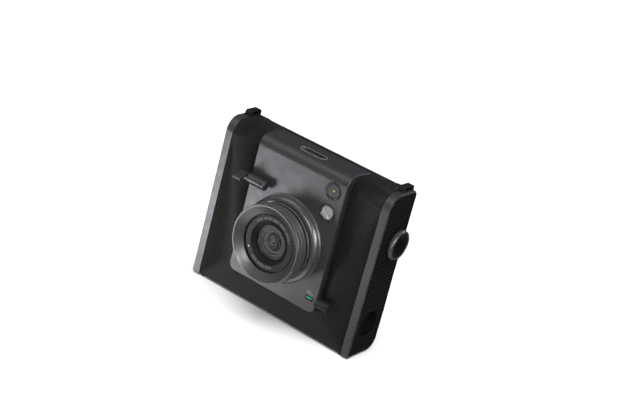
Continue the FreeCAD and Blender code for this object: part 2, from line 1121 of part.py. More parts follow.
def build_shutter():
    """The shutter lever and the tube that carries its shaft."""
    centre = (d.shutter_face, d.shutter_level)
    tube = turned(
        "shutter_tube",
        "X",
        centre,
        [
            (d.housing_outer, 1.6),
            (d.housing_outer, d.shutter_radius, 0.3),
            (d.housing_inner - 3.4, d.shutter_radius),
            (d.housing_inner - 3.4, d.shutter_radius - 0.4),
            (d.housing_inner - 2.8, d.shutter_radius - 0.4),
            (d.housing_inner - 2.8, d.shutter_radius),
            (d.housing_inner, d.shutter_radius, 0.8),
            (d.housing_inner, 0),
            (d.housing_inner - 4.5, 0),
            (d.housing_inner - 4.5, 1.6),
        ],
    )
    saddle = block(
        "shutter_saddle",
        (-34.0, -25.8),
        (d.shutter_face + 2.6, d.plate_face - 0.05),
        (d.shutter_level - 2.0, d.shutter_level + 2.0),
    )
    level = d.shutter_level
    back = d.shutter_face
    paddle = profile(
        "shutter_paddle",
        "X",
        [
            (back + 0.8, level + 3.0, 1.2),
            (back - 3.0, level + 3.4, 2.0),
            (back - d.lever_reach, level + 1.2, 0.9),
            (back - d.lever_reach - 0.2, level - 1.0, 0.7),
            (back - d.lever_reach + 1.6, level - 0.9, 0.5),
            (back - d.lever_reach + 2.2, level + 0.2),
            (back - 2.6, level + 1.4),
            (back - 2.4, level - 0.5),
        ],
        (d.paddle_outer, d.paddle_inner),
    )
    hub = rod("shutter_hub", "X", 3.0, (d.paddle_outer, d.paddle_inner), centre)
    shaft_end = d.housing_inner - 4.9
    shaft = rod("shutter_shaft", "X", 1.55, (d.paddle_inner - 0.7, shaft_end), centre)
    node("shutter_housing", join("shutter_mount", tube, saddle))
    node("shutter_lever", join("shutter_key", hub, shaft, paddle))


def build_wide_lever():
    """Lever that switches the lens to wide, with its flag behind the window."""
    centre = (d.wide_face, d.wide_level)
    back = d.wide_face
    level = d.wide_level
    grip = profile(
        "wide_grip",
        "X",
        [
            (back + 0.6, level - 1.7, 0.6),
            (back + 0.6, level + 1.7, 0.6),
            (back - 1.6, level + 3.2, 1.0),
            (back - 5.2, level + 3.0, 1.2),
            (back - 5.8, level + 0.6, 0.5),
            (back - 4.9, level, 0.2),
            (back - 5.8, level - 0.6, 0.5),
            (back - 5.2, level - 3.0, 1.2),
            (back - 1.6, level - 3.2, 1.0),
        ],
        (d.wide_inner, d.wide_outer),
    )
    shaft = rod("wide_spindle", "X", d.wide_shaft, (27.4, d.wide_inner + 0.45), centre)
    flag = rod("wide_flag", "X", 1.35, (28.4, 34.5), centre)
    window = block(
        "mode_pane",
        (28.35, 34.55),
        (d.plate_face + 0.15, d.plate_face + 1.1),
        (28.35, 31.25),
    )
    node("wide_lever", join("wide_key", grip, shaft, flag))
    node("mode_window", window)


def build_effects_dial():
    centre = (d.dial_back, d.dial_level)
    low = d.half_width + 0.25
    high = d.half_width + d.dial_height
    radius = d.dial_radius
    dial = turned(
        "dial",
        "X",
        centre,
        [
            (63.6, 0),
            (63.6, 2.0),
            (low, 2.0),
            (low, radius - 1.0),
            (low + 0.5, radius - 0.2),
            (low + 1.9, radius),
            (high - 0.5, radius - 0.7),
            (high, radius - 1.3),
            (high, radius - 1.8),
            (high - 0.3, radius - 2.0),
            (high - 0.3, 0),
        ],
    )
    bush = turned(
        "dial_bearing",
        "X",
        centre,
        [
            (65.0, 2.0 + d.running_gap),
            (65.0, 5.5),
            (67.15, 5.5),
            (67.15, 4.0),
            (69.2, 4.0),
            (69.2, 2.0 + d.running_gap),
        ],
    )
    node("effects_dial", dial)
    node("dial_bush", bush)


def build_crank():
    """Print crank: a disc flush in its well, with a handle that folds out."""
    centre = (d.crank_back, d.crank_level)
    back = d.crank_back
    level = d.crank_level
    disc = rod("crank_plate", "X", d.crank_well - 0.3, (65.6, 69.3), centre)
    spindle = rod("crank_spindle", "X", 2.0, (61.6, 66.0), centre)
    channel = block(
        "crank_channel", (66.7, 71.0), (back - 2.65, back + 2.65), (level - 8.2, level + 8.6)
    )
    nail = rod("crank_nail_cut", "X", 3.4, (67.6, 71.0), (back + 2.6, level + 6.3))
    pivot = (68.2, level - 6.4)
    pivot_bore = rod("crank_pivot_bore", "Y", 0.65, (back - 4.2, back + 4.2), pivot)
    bar = block("crank_bar", (67.0, 69.4), (back - 2.35, back + 2.35), (level - 6.4, level + 7.6))
    eye = rod("crank_eye", "Y", 1.2, (back - 2.35, back + 2.35), pivot)
    pin = rod("crank_pin", "Y", 0.6, (back - 4.0, back + 4.0), pivot)
    grip = rod("crank_grip_hollow", "X", 1.5, (68.8, 71.0), (back, level + 4.6))
    node(
        "crank_disc",
        cut("crank_wheel", join("crank_blank", disc, spindle), channel, nail, pivot_bore),
    )
    node("crank_handle", cut("crank_arm", join("crank_arm_blank", bar, eye, pin), grip))


def build_ports():
    """The socket well on the left side and the flap that covers it."""
    depth = (d.port_front, d.port_rear)
    flap = block(
        "port_flap", (-d.half_width, -68.0), depth, (d.port_foot + 0.3, d.port_head - 0.1)
    )
    pin_ends = (d.port_front - 0.7, d.port_rear + 0.7)
    pins = rod("port_flap_pin", "Y", 0.5, pin_ends, (d.flap_across, d.flap_level))
    wall = 1.2
    body = block(
        "port_body",
        (-66.9, -60.3),
        (d.port_front - wall, d.port_rear + wall),
        (d.port_foot - 1.7, d.port_head + 1.3),
    )
    well = block("port_well", (-70.0, -62.6), depth, (d.port_foot, d.port_head))
    charge = block("charge_socket", (-63.0, -60.8), (7.4, 10.6), (28.5, 37.5))
    tongue = block("charge_tongue", (-63.4, -60.8), (8.7, 9.3), (29.7, 36.3))
    card = block("card_slot", (-63.0, -60.8), (8.3, 9.7), (41.0, 52.4))
    node("port_cover", join("port_door", flap, pins))
    node("port_block", join("port_unit", cut("port_shell", body, well, charge, card), tongue))


def build_door():
    """Film door with the hinge knuckles, and the windows cut in its back."""
    half = d.door_half
    corners = 5.0
    outer = profile(
        "door_outer",
        "Y",
        [
            (-half, d.door_foot, corners),
            (half, d.door_foot, corners),
            (half, d.door_top, corners),
            (-half, d.door_top, corners),
        ],
        (d.door_front, d.door_face),
    )

    def is_back_rim(edge):
        return edge.BoundBox.YMin > float(d.door_face) - 1e-3

    soften(outer, 2.0, is_back_rim)
    wall = d.door_wall
    hollow = block(
        "door_hollow",
        (-half + wall, half - wall),
        (d.door_front - 1, d.door_face - wall),
        (d.door_foot + wall + 1.0, d.door_top - wall),
    )
    through = (d.door_front - 1, d.door_face + 1)
    tools = [hollow, block("door_screen_hole", LCD_ACROSS, through, LCD_LEVELS)]
    for name, (across, level, radius) in BUTTONS.items():
        tools.append(rod(f"{name}_hole", "Y", radius + 0.25, through, (across, level)))
    shell = cut("door_shell", outer, *tools)
    hinge = (d.hinge_back, d.hinge_level)
    knuckles = []
    for side in (-1, 1):
        ends = (side * 30.0, side * 50.0)
        knuckles.append(rod(f"knuckle_{side + 1}", "X", 1.65, ends, hinge))
        knuckles.append(
            block(
                f"knuckle_web_{side + 1}",
                ends,
                (d.hinge_back - 1.2, d.hinge_back + 1.2),
                (d.hinge_level, d.door_foot + 0.5),
            )
        )
    bore = rod("knuckle_bore", "X", d.pin_radius + d.running_gap, (-51.0, 51.0), hinge)
    return cut("door", join("door_blank", shell, *knuckles), bore)


LCD_ACROSS = (d.screen_left, d.screen_right)
LCD_LEVELS = (d.screen_foot, d.screen_head)
BUTTONS = {
    "direction_pad": (d.pad_across, d.pad_level, d.pad_radius),
    "playback_button": (d.outer_keys, d.lower_keys, d.key_radius),
    "back_button": (d.inner_key, d.lower_keys, d.key_radius),
    "power_button": (d.outer_keys, d.upper_key, d.key_radius),
}


def build_door_parts():
    hinge = (d.hinge_back, d.hinge_level)
    node("door_hinge_pin", rod("hinge_rod", "X", d.pin_radius, (-53.4, 53.4), hinge))
    glass = block(
        "screen_glass",
        (LCD_ACROSS[0] + 0.1, LCD_ACROSS[1] - 0.1),
        (d.door_face - 2.0, d.door_face - 0.1),
        (LCD_LEVELS[0] + 0.1, LCD_LEVELS[1] - 0.1),
    )
    module = block(
        "screen_module",
        (LCD_ACROSS[0] - 1.5, LCD_ACROSS[1] + 1.5),
        (d.door_face - 5.0, d.door_face - 2.0),
        (LCD_LEVELS[0] - 1.5, LCD_LEVELS[1] + 1.5),
    )
    node("lcd_screen", join("screen", glass, module))
    flange = d.door_face - d.door_wall - 1.0
    for name, (across, level, radius) in BUTTONS.items():
        stem = [
            (flange - 1.1, 0),
            (flange - 1.1, radius + 0.8),
            (flange, radius + 0.8),
            (flange, radius),
            (d.button_face, radius, 0.35),
            (d.button_face, 0),
        ]
        if name == "direction_pad":
            bore = d.ok_radius + 0.25
            stem[0] = (flange - 1.1, bore)
            stem[-1] = (d.button_face, bore)
        node(name, turned(f"{name}_stem", "Y", (across, level), stem))
    across, level, _ = BUTTONS["direction_pad"]
    node(
        "ok_button",
        turned(
            "ok_stem",
            "Y",
            (across, level),
            [
                (flange - 1.1, 0),
                (flange - 1.1, d.ok_radius),
                (d.button_face, d.ok_radius, 0.35),
                (d.button_face, 0),
            ],
        ),
    )


def build_latch():
    """Film door lock: a ridged slider on the left side."""

    def across_slot(half):
        return (d.latch_back - half, d.latch_back + half)

    foot = d.latch_foot
    head = d.latch_head
    thumb = block("latch_thumb", (-72.0, -69.95), across_slot(4.5), (foot, head))
    ridges = [
        block(f"latch_groove_{i}", (-73.0, -71.4), across_slot(5.0), (foot + rise, foot + rise + 0.7))
        for i, rise in enumerate((1.1, 2.6, 4.1, 5.6))
    ]
    neck = block("latch_neck", (-69.95, -66.2), across_slot(1.4), (foot, head - 1.8))
    plate = block("latch_plate", (-66.2, -65.0), across_slot(3.4), (foot - 2.4, head + 0.6))
    return cut("latch", join("latch_blank", thumb, neck, plate), *ridges)


def build_chamber():
    """Film chamber, open at the back, with the roller brackets on top."""
    half = d.chamber_half
    wall = 1.2
    rear = d.split_face - 0.2
    outer = block(
        "chamber_outer",
        (-half, half),
        (d.chamber_front, rear),
        (d.chamber_foot, d.chamber_top),
    )
    inner = block(
        "chamber_inner",
        (-half + wall, half - wall),
        (d.chamber_front + wall, FAR),
        (d.chamber_foot + wall, d.chamber_top - wall),
    )
    film_gap = block("chamber_film_gap", (-56.0, 56.0), (14.8, 16.4), (100.0, 112.0))
    claw_slot = block("claw_slot", (-61.0, -57.5), (17.6, 20.4), (38.0, 72.0))
    tray = cut("chamber_tray", outer, inner, film_gap, claw_slot)
    brackets = [
        block(
            f"bracket_{side + 1}",
            (side * 55.6, side * 57.0),
            (10.3, 21.4),
            (d.chamber_top - 0.5, d.roller_level + 3.2),
        )
        for side in (-1, 1)
    ]
    bore = d.roller_shaft + d.running_gap
    bores = [
        rod(f"bracket_bore_{i}", "X", bore, (-58.0, 58.0), (back, d.roller_level))
        for i, back in enumerate((d.drive_back, d.pinch_back))
    ]
    return cut("chamber", join("chamber_blank", tray, *brackets), *bores)


TOOTH_MODULE = 0.5
PAIR_TEETH = 11
INPUT_TEETH = 18
PINION_TEETH = 8


def gear(name, centre, along, teeth, turn):
    """A spur gear with plain flanks; turn sets the first tooth, in tooth pitches."""
    pitch_radius = teeth * TOOTH_MODULE / 2
    tip = pitch_radius + 0.38
    root = pitch_radius - 0.62
    shape_points = []
    for tooth in range(teeth):
        start = (tooth + turn) / teeth
        for offset, radius in ((-0.27, root), (-0.12, tip), (0.12, tip), (0.27, root)):
            angle = 2 * math.pi * (start + offset / teeth)
            shape_points.append((radius * math.cos(angle), radius * math.sin(angle)))
    body = profile(name, "X", shape_points, along)
    move(body, 0, *centre)
    return body


def meshing_turn(mate_centre, mate_teeth, centre, teeth):
    """The turn that sets a gear's teeth in the gaps of its mate."""
    across = float(centre[0]) - float(mate_centre[0])
    up = float(centre[1]) - float(mate_centre[1])
    bearing = math.atan2(up, across) / (2 * math.pi)
    mate_phase = bearing * mate_teeth
    return (bearing + 0.5) * teeth - (0.5 - mate_phase)


def build_feed():
    """The film feed: two rollers geared together, the motor and its pinion."""
    level = d.roller_level
    half = 54.5
    drive_centre = (d.drive_back, level)
    pinch_centre = (d.pinch_back, level)
    pair_face = (57.6, 59.6)
    drive_face = (60.4, 62.4)
    drive = join(
        "drive_set",
        rod("drive_sleeve", "X", d.roller_radius, (-half, half), drive_centre),
        rod("drive_axle", "X", d.roller_shaft, (-57.4, 62.6), drive_centre),
        gear("drive_pair_gear", drive_centre, pair_face, PAIR_TEETH, 0.0),
        gear("drive_input_gear", drive_centre, drive_face, INPUT_TEETH, 0.0),
    )
    pinch = join(
        "pinch_set",
        rod("pinch_sleeve", "X", d.roller_radius, (-half, half), pinch_centre),
        rod("pinch_axle", "X", d.roller_shaft, (-57.4, 59.9), pinch_centre),
        gear("pinch_gear", pinch_centre, pair_face, PAIR_TEETH, 0.0),
    )
    motor_centre = (d.motor_back, d.motor_level)
    motor = cut(
        "motor",
        rod("motor_can", "X", d.motor_radius, (34.0, 58.0), motor_centre),
        rod("motor_bore", "X", 0.8, (52.0, 60.0), motor_centre),
    )
    pinion_turn = meshing_turn(drive_centre, INPUT_TEETH, motor_centre, PINION_TEETH)
    pinion = join(
        "pinion",
        rod("pinion_shaft", "X", 0.75, (54.0, 62.5), motor_centre),
        gear("pinion_gear", motor_centre, drive_face, PINION_TEETH, pinion_turn),
    )
    node("drive_roller", drive)
    node("pinch_roller", pinch)
    node("feed_motor", motor)
    node("motor_pinion", pinion)


def build_inner_parts():
    node(
        "film_pack",
        block("pack", (-58.0, 58.0), (6.0, 21.4), (9.2, 105.8)),
    )
    node("battery", block("cell", (32.0, 62.5), (-2.1, 4.2), (38.0, 104.0)))
    board = block("board", (-57.0, -29.0), (1.6, 2.8), (12.0, 104.0))
    chips = [
        block(f"chip_{i}", (-50.0, -38.0), (0.4, 1.6), (low, low + 10.0))
        for i, low in enumerate((30.0, 52.0, 74.0))
    ]
    node("main_board", join("board_set", board, *chips))
    node("print_head", block("exposure_bar", (-55.0, 55.0), (16.6, 21.4), (107.8, 109.6)))
    slide = block("claw_slide", (-62.6, -60.2), (18.0, 20.0), (40.0, 60.0))
    finger = block("claw_finger", (-60.2, -58.4), (18.2, 19.8), (42.0, 44.0))
    node("pick_claw", join("claw", slide, finger))


def build_all():
    node("front_cover", build_front_cover())
    node("left_cheek", build_left_cheek())
    node("rear_cover", build_rear_cover())
    node("front_skin", build_front_skin())
    node("left_skin", build_side_skin(-1))
    node("right_skin", build_side_skin(1))
    node("left_trim", build_trim(-1))
    node("right_trim", build_trim(1))
    node("face_plate", build_face_plate())
    node("film_exit_lip", build_exit_lip())
    node("top_indicator", pill("indicator", 10.0, 2.8, (120.9, 121.6)))
    node("strap_lugs", build_strap_lugs())
    node("feet", build_feet())
    node("tripod_socket", build_tripod_socket())
    node("case_fasteners", join("fastener_set", build_screws(), build_screw_posts()))
    build_lens()
    build_flash()
    build_mirror()
    build_shutter()
    build_wide_lever()
    build_effects_dial()
    build_crank()
    build_ports()
    node("film_door", build_door())
    build_door_parts()
    node("door_latch", build_latch())
    node("film_chamber", build_chamber())
    build_feed()
    build_inner_parts()


def check_all():
    """Stop if any object failed or any sub-part is not a sound solid."""
    for obj in doc.Objects:
        if "Invalid" in obj.State or "Error" in obj.State:
            raise RuntimeError(f"{obj.Label} failed: {obj.State}")
    for name, obj in NODES.items():
        shape = obj.Shape
        if shape.isNull() or not shape.isValid() or not shape.Solids:
            raise RuntimeError(f"{name} has no valid solid")


build_all()
doc.recompute()
check_all()
os.makedirs("parts", exist_ok=True)
for node_name, node_object in NODES.items():
    node_object.Shape.exportStep(f"parts/{node_name}.step")
print(len(NODES), "sub-parts written")
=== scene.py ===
"""Looks for the instant camera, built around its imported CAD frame."""

import json
import math

import bmesh
import bpy
from mathutils import Matrix, Vector


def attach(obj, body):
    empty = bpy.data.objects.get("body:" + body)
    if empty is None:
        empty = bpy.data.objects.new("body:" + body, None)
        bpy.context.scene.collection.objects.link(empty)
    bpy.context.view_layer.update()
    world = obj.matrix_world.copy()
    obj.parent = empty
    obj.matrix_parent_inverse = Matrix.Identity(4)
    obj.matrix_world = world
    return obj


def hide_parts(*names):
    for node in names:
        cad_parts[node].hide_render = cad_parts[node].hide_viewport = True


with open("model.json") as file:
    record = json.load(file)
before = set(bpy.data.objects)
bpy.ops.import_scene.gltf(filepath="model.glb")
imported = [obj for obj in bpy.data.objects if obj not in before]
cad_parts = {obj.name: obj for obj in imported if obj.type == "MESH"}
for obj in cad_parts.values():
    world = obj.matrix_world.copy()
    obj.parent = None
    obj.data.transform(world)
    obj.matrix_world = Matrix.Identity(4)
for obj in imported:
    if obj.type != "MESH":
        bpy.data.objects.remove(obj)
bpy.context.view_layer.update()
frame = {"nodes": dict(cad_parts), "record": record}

MM = 0.001
TAU = 2 * math.pi

# Places on the camera, in millimetres: the lens axis, the dial's (y, z), the lamp's and the
# mirror's (x, z), and the outer faces that marks are printed on.
LENS_Z = 60.28
DIAL = (15.4, 83.6)
LAMP = (27.9, 108.4)
MIRROR = (27.7, 92.7)
FRONT_FACE = -5.5
SIDE_FACE = 69.7
TOP_FACE = 120.8
TOP_BEND = 10.0
PLATE_FACE = -10.37
WINDOW_FACE = -10.2
NAME_FACE = -26.7
SCREEN_FACE = 31.3
KEY_FACE = 31.9

# The grip sheets' pressed rows: their pitch, their depth and how far they run uphill.
FRONT_PITCH = 2.2
FRONT_DEPTH = 0.13
SIDE_PITCH = 3.5
SIDE_DEPTH = 0.28
SIDE_TILT = math.radians(4.0)

# How far a printed mark goes into its face, and how far it stands out of it.
INK_SUNK = 0.02
INK_PROUD = 0.03


# ---------------------------------------------------------------- materials


class Look:
    """One procedural material: a Principled shader and short names for the nodes it needs."""

    def __init__(self, name, **constants):
        self.mat = bpy.data.materials.new(name)
        self.mat.use_nodes = True
        self.nodes = self.mat.node_tree.nodes
        self.links = self.mat.node_tree.links
        self.shader = self.nodes["Principled BSDF"]
        for key, value in constants.items():
            self.shader.inputs[SOCKETS[key]].default_value = value
        self.place = self.nodes.new("ShaderNodeTexCoord").outputs["Object"]
        self.height = None
        self.axes = None

    def put(self, socket, value):
        """Give a socket a link or a plain value."""
        if isinstance(value, bpy.types.NodeSocket):
            self.links.new(value, socket)
        elif value is not None:
            socket.default_value = value

    def math(self, operation, a, b=None, clamp=False):
        node = self.nodes.new("ShaderNodeMath")
        node.operation = operation
        node.use_clamp = clamp
        self.put(node.inputs[0], a)
        self.put(node.inputs[1], b)
        return node.outputs[0]

    def xyz(self):
        """The object coordinate's three numbers, in metres."""
        if self.axes is None:
            node = self.nodes.new("ShaderNodeSeparateXYZ")
            self.links.new(self.place, node.inputs[0])
            self.axes = tuple(node.outputs)
        return self.axes

    def noise(self, scale, detail=2.0, stretch=None):
        """Soft noise of that many features a metre."""
        node = self.nodes.new("ShaderNodeTexNoise")
        node.inputs["Scale"].default_value = scale
        node.inputs["Detail"].default_value = detail
        source = self.place
        if stretch:
            scaled = self.nodes.new("ShaderNodeVectorMath")
            scaled.operation = "MULTIPLY"
            self.links.new(source, scaled.inputs[0])
            scaled.inputs[1].default_value = stretch
            source = scaled.outputs[0]
        self.links.new(source, node.inputs["Vector"])
        return node.outputs["Fac"]

    def line_noise(self, along, scale):
        """Noise that changes along one measure only, as turned or drawn lines do."""
        node = self.nodes.new("ShaderNodeTexNoise")
        node.noise_dimensions = "1D"
        node.inputs["Detail"].default_value = 3.0
        node.inputs["Scale"].default_value = scale
        self.links.new(along, node.inputs["W"])
        return node.outputs["Fac"]

    def cells(self, scale):
        """Distance to the nearest of many scattered points."""
        node = self.nodes.new("ShaderNodeTexVoronoi")
        node.inputs["Scale"].default_value = scale
        self.links.new(self.place, node.inputs["Vector"])
        return node.outputs["Distance"]

    def wave(self, along, pitch, phase=0.0):
        """A cosine of that pitch in millimetres."""
        turned = self.math("MULTIPLY", along, TAU / (pitch * MM))
        return self.math("COSINE", self.math("ADD", turned, phase))

    def span(self, value, low, high, out_low=0.0, out_high=1.0):
        node = self.nodes.new("ShaderNodeMapRange")
        for i, item in enumerate((value, low, high, out_low, out_high)):
            self.put(node.inputs[i], item)
        return node.outputs[0]

    def blend(self, amount, first, second):
        """Mix two colours, each a colour or a link."""
        node = self.nodes.new("ShaderNodeMix")
        node.data_type = "RGBA"
        self.put(node.inputs[0], amount)
        self.put(node.inputs[6], rgba(first))
        self.put(node.inputs[7], rgba(second))
        return node.outputs[2]

    def colour(self, value):
        self.put(self.shader.inputs["Base Color"], rgba(value))

    def rough(self, value):
        self.put(self.shader.inputs["Roughness"], value)

    def edge(self, radius):
        """How near a sharp edge a point is: 0 on a flat, up to 1 on the edge."""
        bevel = self.nodes.new("ShaderNodeBevel")
        bevel.inputs["Radius"].default_value = radius * MM
        flat = self.nodes.new("ShaderNodeNewGeometry").outputs["Normal"]
        dot = self.nodes.new("ShaderNodeVectorMath")
        dot.operation = "DOT_PRODUCT"
        self.links.new(bevel.outputs[0], dot.inputs[0])
        self.links.new(flat, dot.inputs[1])
        return self.span(dot.outputs["Value"], 0.97, 0.75)

    def relief(self, height, depth, soft=0.12):
        """Bump of that depth in millimetres over softened edges."""
        bump = self.nodes.new("ShaderNodeBump")
        bump.inputs["Distance"].default_value = depth * MM
        self.put(bump.inputs["Height"], height)
        if self.height is None:
            bevel = self.nodes.new("ShaderNodeBevel")
            bevel.inputs["Radius"].default_value = soft * MM
            self.links.new(bevel.outputs[0], bump.inputs["Normal"])
        else:
            self.links.new(self.height, bump.inputs["Normal"])
        self.height = bump.outputs[0]
        self.put(self.shader.inputs["Normal"], self.height)


SOCKETS = {
    "metal": "Metallic",
    "rough": "Roughness",
    "ior": "IOR",
    "gloss": "Specular IOR Level",
    "coat": "Coat Weight",
    "coat_rough": "Coat Roughness",
    "sheen": "Sheen Weight",
    "sheen_rough": "Sheen Roughness",
    "alpha": "Alpha",
    "grain": "Anisotropic",
    "glow": "Emission Strength",
}


def rgba(value):
    """A colour as four numbers; a grey may be one number."""
    if isinstance(value, (int, float)):
        return (value, value, value, 1.0)
    if isinstance(value, tuple) and len(value) == 3:
        return (*value, 1.0)
    return value


def shade(colour, factor):
    return tuple(c * factor for c in rgba(colour)[:3])


def moulded(name, colour, rough=0.5, grain=0.02, gloss=0.4, edge_wear_and_painted_light=1.7, scale=2600):
    """Moulded plastic: fine spark grain, faint mottling, and edges painted lighter, partly as wear
    and partly as a painted highlight.
    """
    look = Look(name, gloss=gloss)
    tint = look.blend(look.noise(70), shade(colour, 0.8), shade(colour, 1.2))
    # The edges take the colour times the last factor: painted lighter, partly as wear and partly
    # as a painted highlight.
    look.colour(look.blend(look.math("MULTIPLY", look.edge(0.35), 0.5), tint, shade(colour, edge_wear_and_painted_light)))
    look.rough(look.span(look.noise(420, 3), 0.3, 0.7, rough - 0.06, rough + 0.08))
    look.relief(look.noise(scale, 2), grain)
    return look.mat


def painted(name, colour, rough=0.36, grain=0.008, edge_wear_and_painted_light=2.6, metal=0.85, gloss=0.5):
    """Satin metallic paint: very fine flake, soft cloudiness, and edges painted brighter, partly
    as wear and partly as a painted highlight.
    """
    look = Look(name, metal=metal, gloss=gloss)
    flake = look.cells(6500)
    tint = look.blend(look.noise(55, 3), shade(colour, 0.92), shade(colour, 1.08))
    fleck = look.blend(look.span(flake, 0.0, 0.5, 0.35, 0.0), tint, shade(colour, 1.6))
    # The edges take the colour times the last factor: painted lighter, partly as wear and partly
    # as a painted highlight.
    look.colour(look.blend(look.math("MULTIPLY", look.edge(0.3), 0.7), fleck, shade(colour, edge_wear_and_painted_light)))
    look.rough(look.span(look.noise(160, 4), 0.3, 0.7, rough - 0.04, rough + 0.05))
    look.relief(look.noise(5200, 2), grain)
    return look.mat


def axis_radius(look, axis, centre):
    """Distance from an axis: axis is Y or X, centre the other two coordinates in mm."""
    x, y, z = look.xyz()
    first = x if axis == "Y" else y
    a = look.math("SUBTRACT", first, centre[0] * MM)
    b = look.math("SUBTRACT", z, centre[1] * MM)
    squares = look.math("ADD", look.math("MULTIPLY", a, a), look.math("MULTIPLY", b, b))
    return look.math("SQRT", squares)


def turned(name, colour, rough=0.3, axis="Y", centre=(0.0, LENS_Z), lines=0.012, metal=0.9,
           grain=0.55, edge_wear_and_painted_light=1.7, rim=None):
    """Turned and anodised metal: fine concentric tool lines, a streaked sheen, edges painted
    brighter as wear and a painted highlight (darker, as painted shade, where that factor is under
    1), and, given a rim, painted shade on one side of a radius.
    """
    look = Look(name, metal=metal, grain=grain, gloss=0.5)
    tangent = look.nodes.new("ShaderNodeTangent")
    tangent.direction_type = "RADIAL"
    tangent.axis = axis
    look.links.new(tangent.outputs[0], look.shader.inputs["Tangent"])
    x, y, z = look.xyz()
    radius = axis_radius(look, axis, centre)
    along = look.math("ADD", radius, look.math("MULTIPLY", y if axis == "Y" else x, 1.7))
    fine = look.line_noise(along, 5200)
    coarse = look.line_noise(along, 900)
    tint = look.blend(fine, shade(colour, 0.85), shade(colour, 1.15))
    # A rim scales the colour inside and outside a radius: painted shade, used for the barrel's
    # grooves and the bezel's outer rim.
    if rim:
        place, inside, outside = rim
        past = look.span(radius, (place - 0.1) * MM, place * MM)
        factor = look.span(past, 0.0, 1.0, inside, outside)
        tint = look.blend(factor, (0.0, 0.0, 0.0), tint)
    # The edges take the colour times the last factor: lighter as wear and a painted highlight,
    # darker as painted shade when it is under 1.
    look.colour(look.blend(look.math("MULTIPLY", look.edge(0.25), 0.6), tint, shade(colour, edge_wear_and_painted_light)))
    look.rough(look.span(coarse, 0.3, 0.7, rough - 0.05, rough + 0.06))
    look.relief(fine, lines)
    return look.mat


def grip(name, across, pitch, gloss, tilt=None, base=(0.0048, 0.0048, 0.005)):
    """Black grip sheet: pips along its pressed rows, painted darker in the grooves and lighter on
    the crests as painted shade and painted highlight, a fine grain and a little sheen.

    Rows follow the fold over the top, or run uphill by a tilt in radians on a side."""
    look = Look(name, gloss=gloss, sheen=0.03, sheen_rough=0.4)
    axes = dict(zip("xyz", look.xyz()))
    if tilt is None:
        s = look.math("ADD", look.math("ADD", axes["z"], axes["y"]), -FRONT_FACE * MM)
    else:
        s = look.math("SUBTRACT", look.math("MULTIPLY", axes["z"], math.cos(tilt)),
                      look.math("MULTIPLY", axes["y"], math.sin(tilt)))
    t = axes[across]
    crest = look.math("ADD", look.math("MULTIPLY", look.wave(s, pitch), 0.5), 0.5)
    pips = look.math("MULTIPLY", look.wave(t, 1.5), look.wave(s, pitch, math.pi / 2))
    height = look.math("ADD", look.math("MULTIPLY", pips, 0.5), 0.5)
    grain = look.noise(1500, 3)
    # Painted shade in the row and pip grooves, painted highlight on their crests.
    tint = look.blend(look.math("MULTIPLY", crest, height), shade(base, 0.65), shade(base, 1.8))
    look.colour(look.blend(look.span(grain, 0.35, 0.7), tint, shade(base, 1.3)))
    look.rough(look.span(crest, 0.0, 1.0, 0.62, 0.46))
    look.relief(height, 0.1, soft=0.1)
    look.relief(grain, 0.04)
    return look.mat


def glassy(name, colour, alpha, rough=0.04, coat=0.0, ior=1.5):
    """Clear or smoked coated glass, with faint wipe marks in its gloss."""
    look = Look(name, alpha=alpha, ior=ior, coat=coat, coat_rough=0.02)
    look.colour(look.blend(look.noise(90, 2), shade(colour, 0.92), shade(colour, 1.08)))
    look.rough(look.span(look.noise(260, 4), 0.3, 0.75, rough, rough + 0.05))
    look.mat.surface_render_method = "BLENDED"
    return look.mat


def glossy(name, colour, rough=0.16, gloss=0.5, coat=0.3):
    """Polished plastic or lacquer, with faint orange peel."""
    look = Look(name, gloss=gloss, coat=coat, coat_rough=0.08)
    look.colour(look.blend(look.noise(120, 3), shade(colour, 0.85), shade(colour, 1.15)))
    look.rough(look.span(look.noise(500, 3), 0.3, 0.7, rough - 0.04, rough + 0.06))
    look.relief(look.noise(320, 2), 0.01)
    return look.mat


def inked(name, colour, rough=0.45):
    """A printed mark: slightly uneven ink."""
    look = Look(name, gloss=0.4)
    look.colour(look.blend(look.noise(900, 3), shade(colour, 0.8), shade(colour, 1.1)))
    look.rough(look.span(look.noise(1500, 2), 0.3, 0.7, rough - 0.05, rough + 0.05))
    look.relief(look.noise(4000, 2), 0.006)
    return look.mat


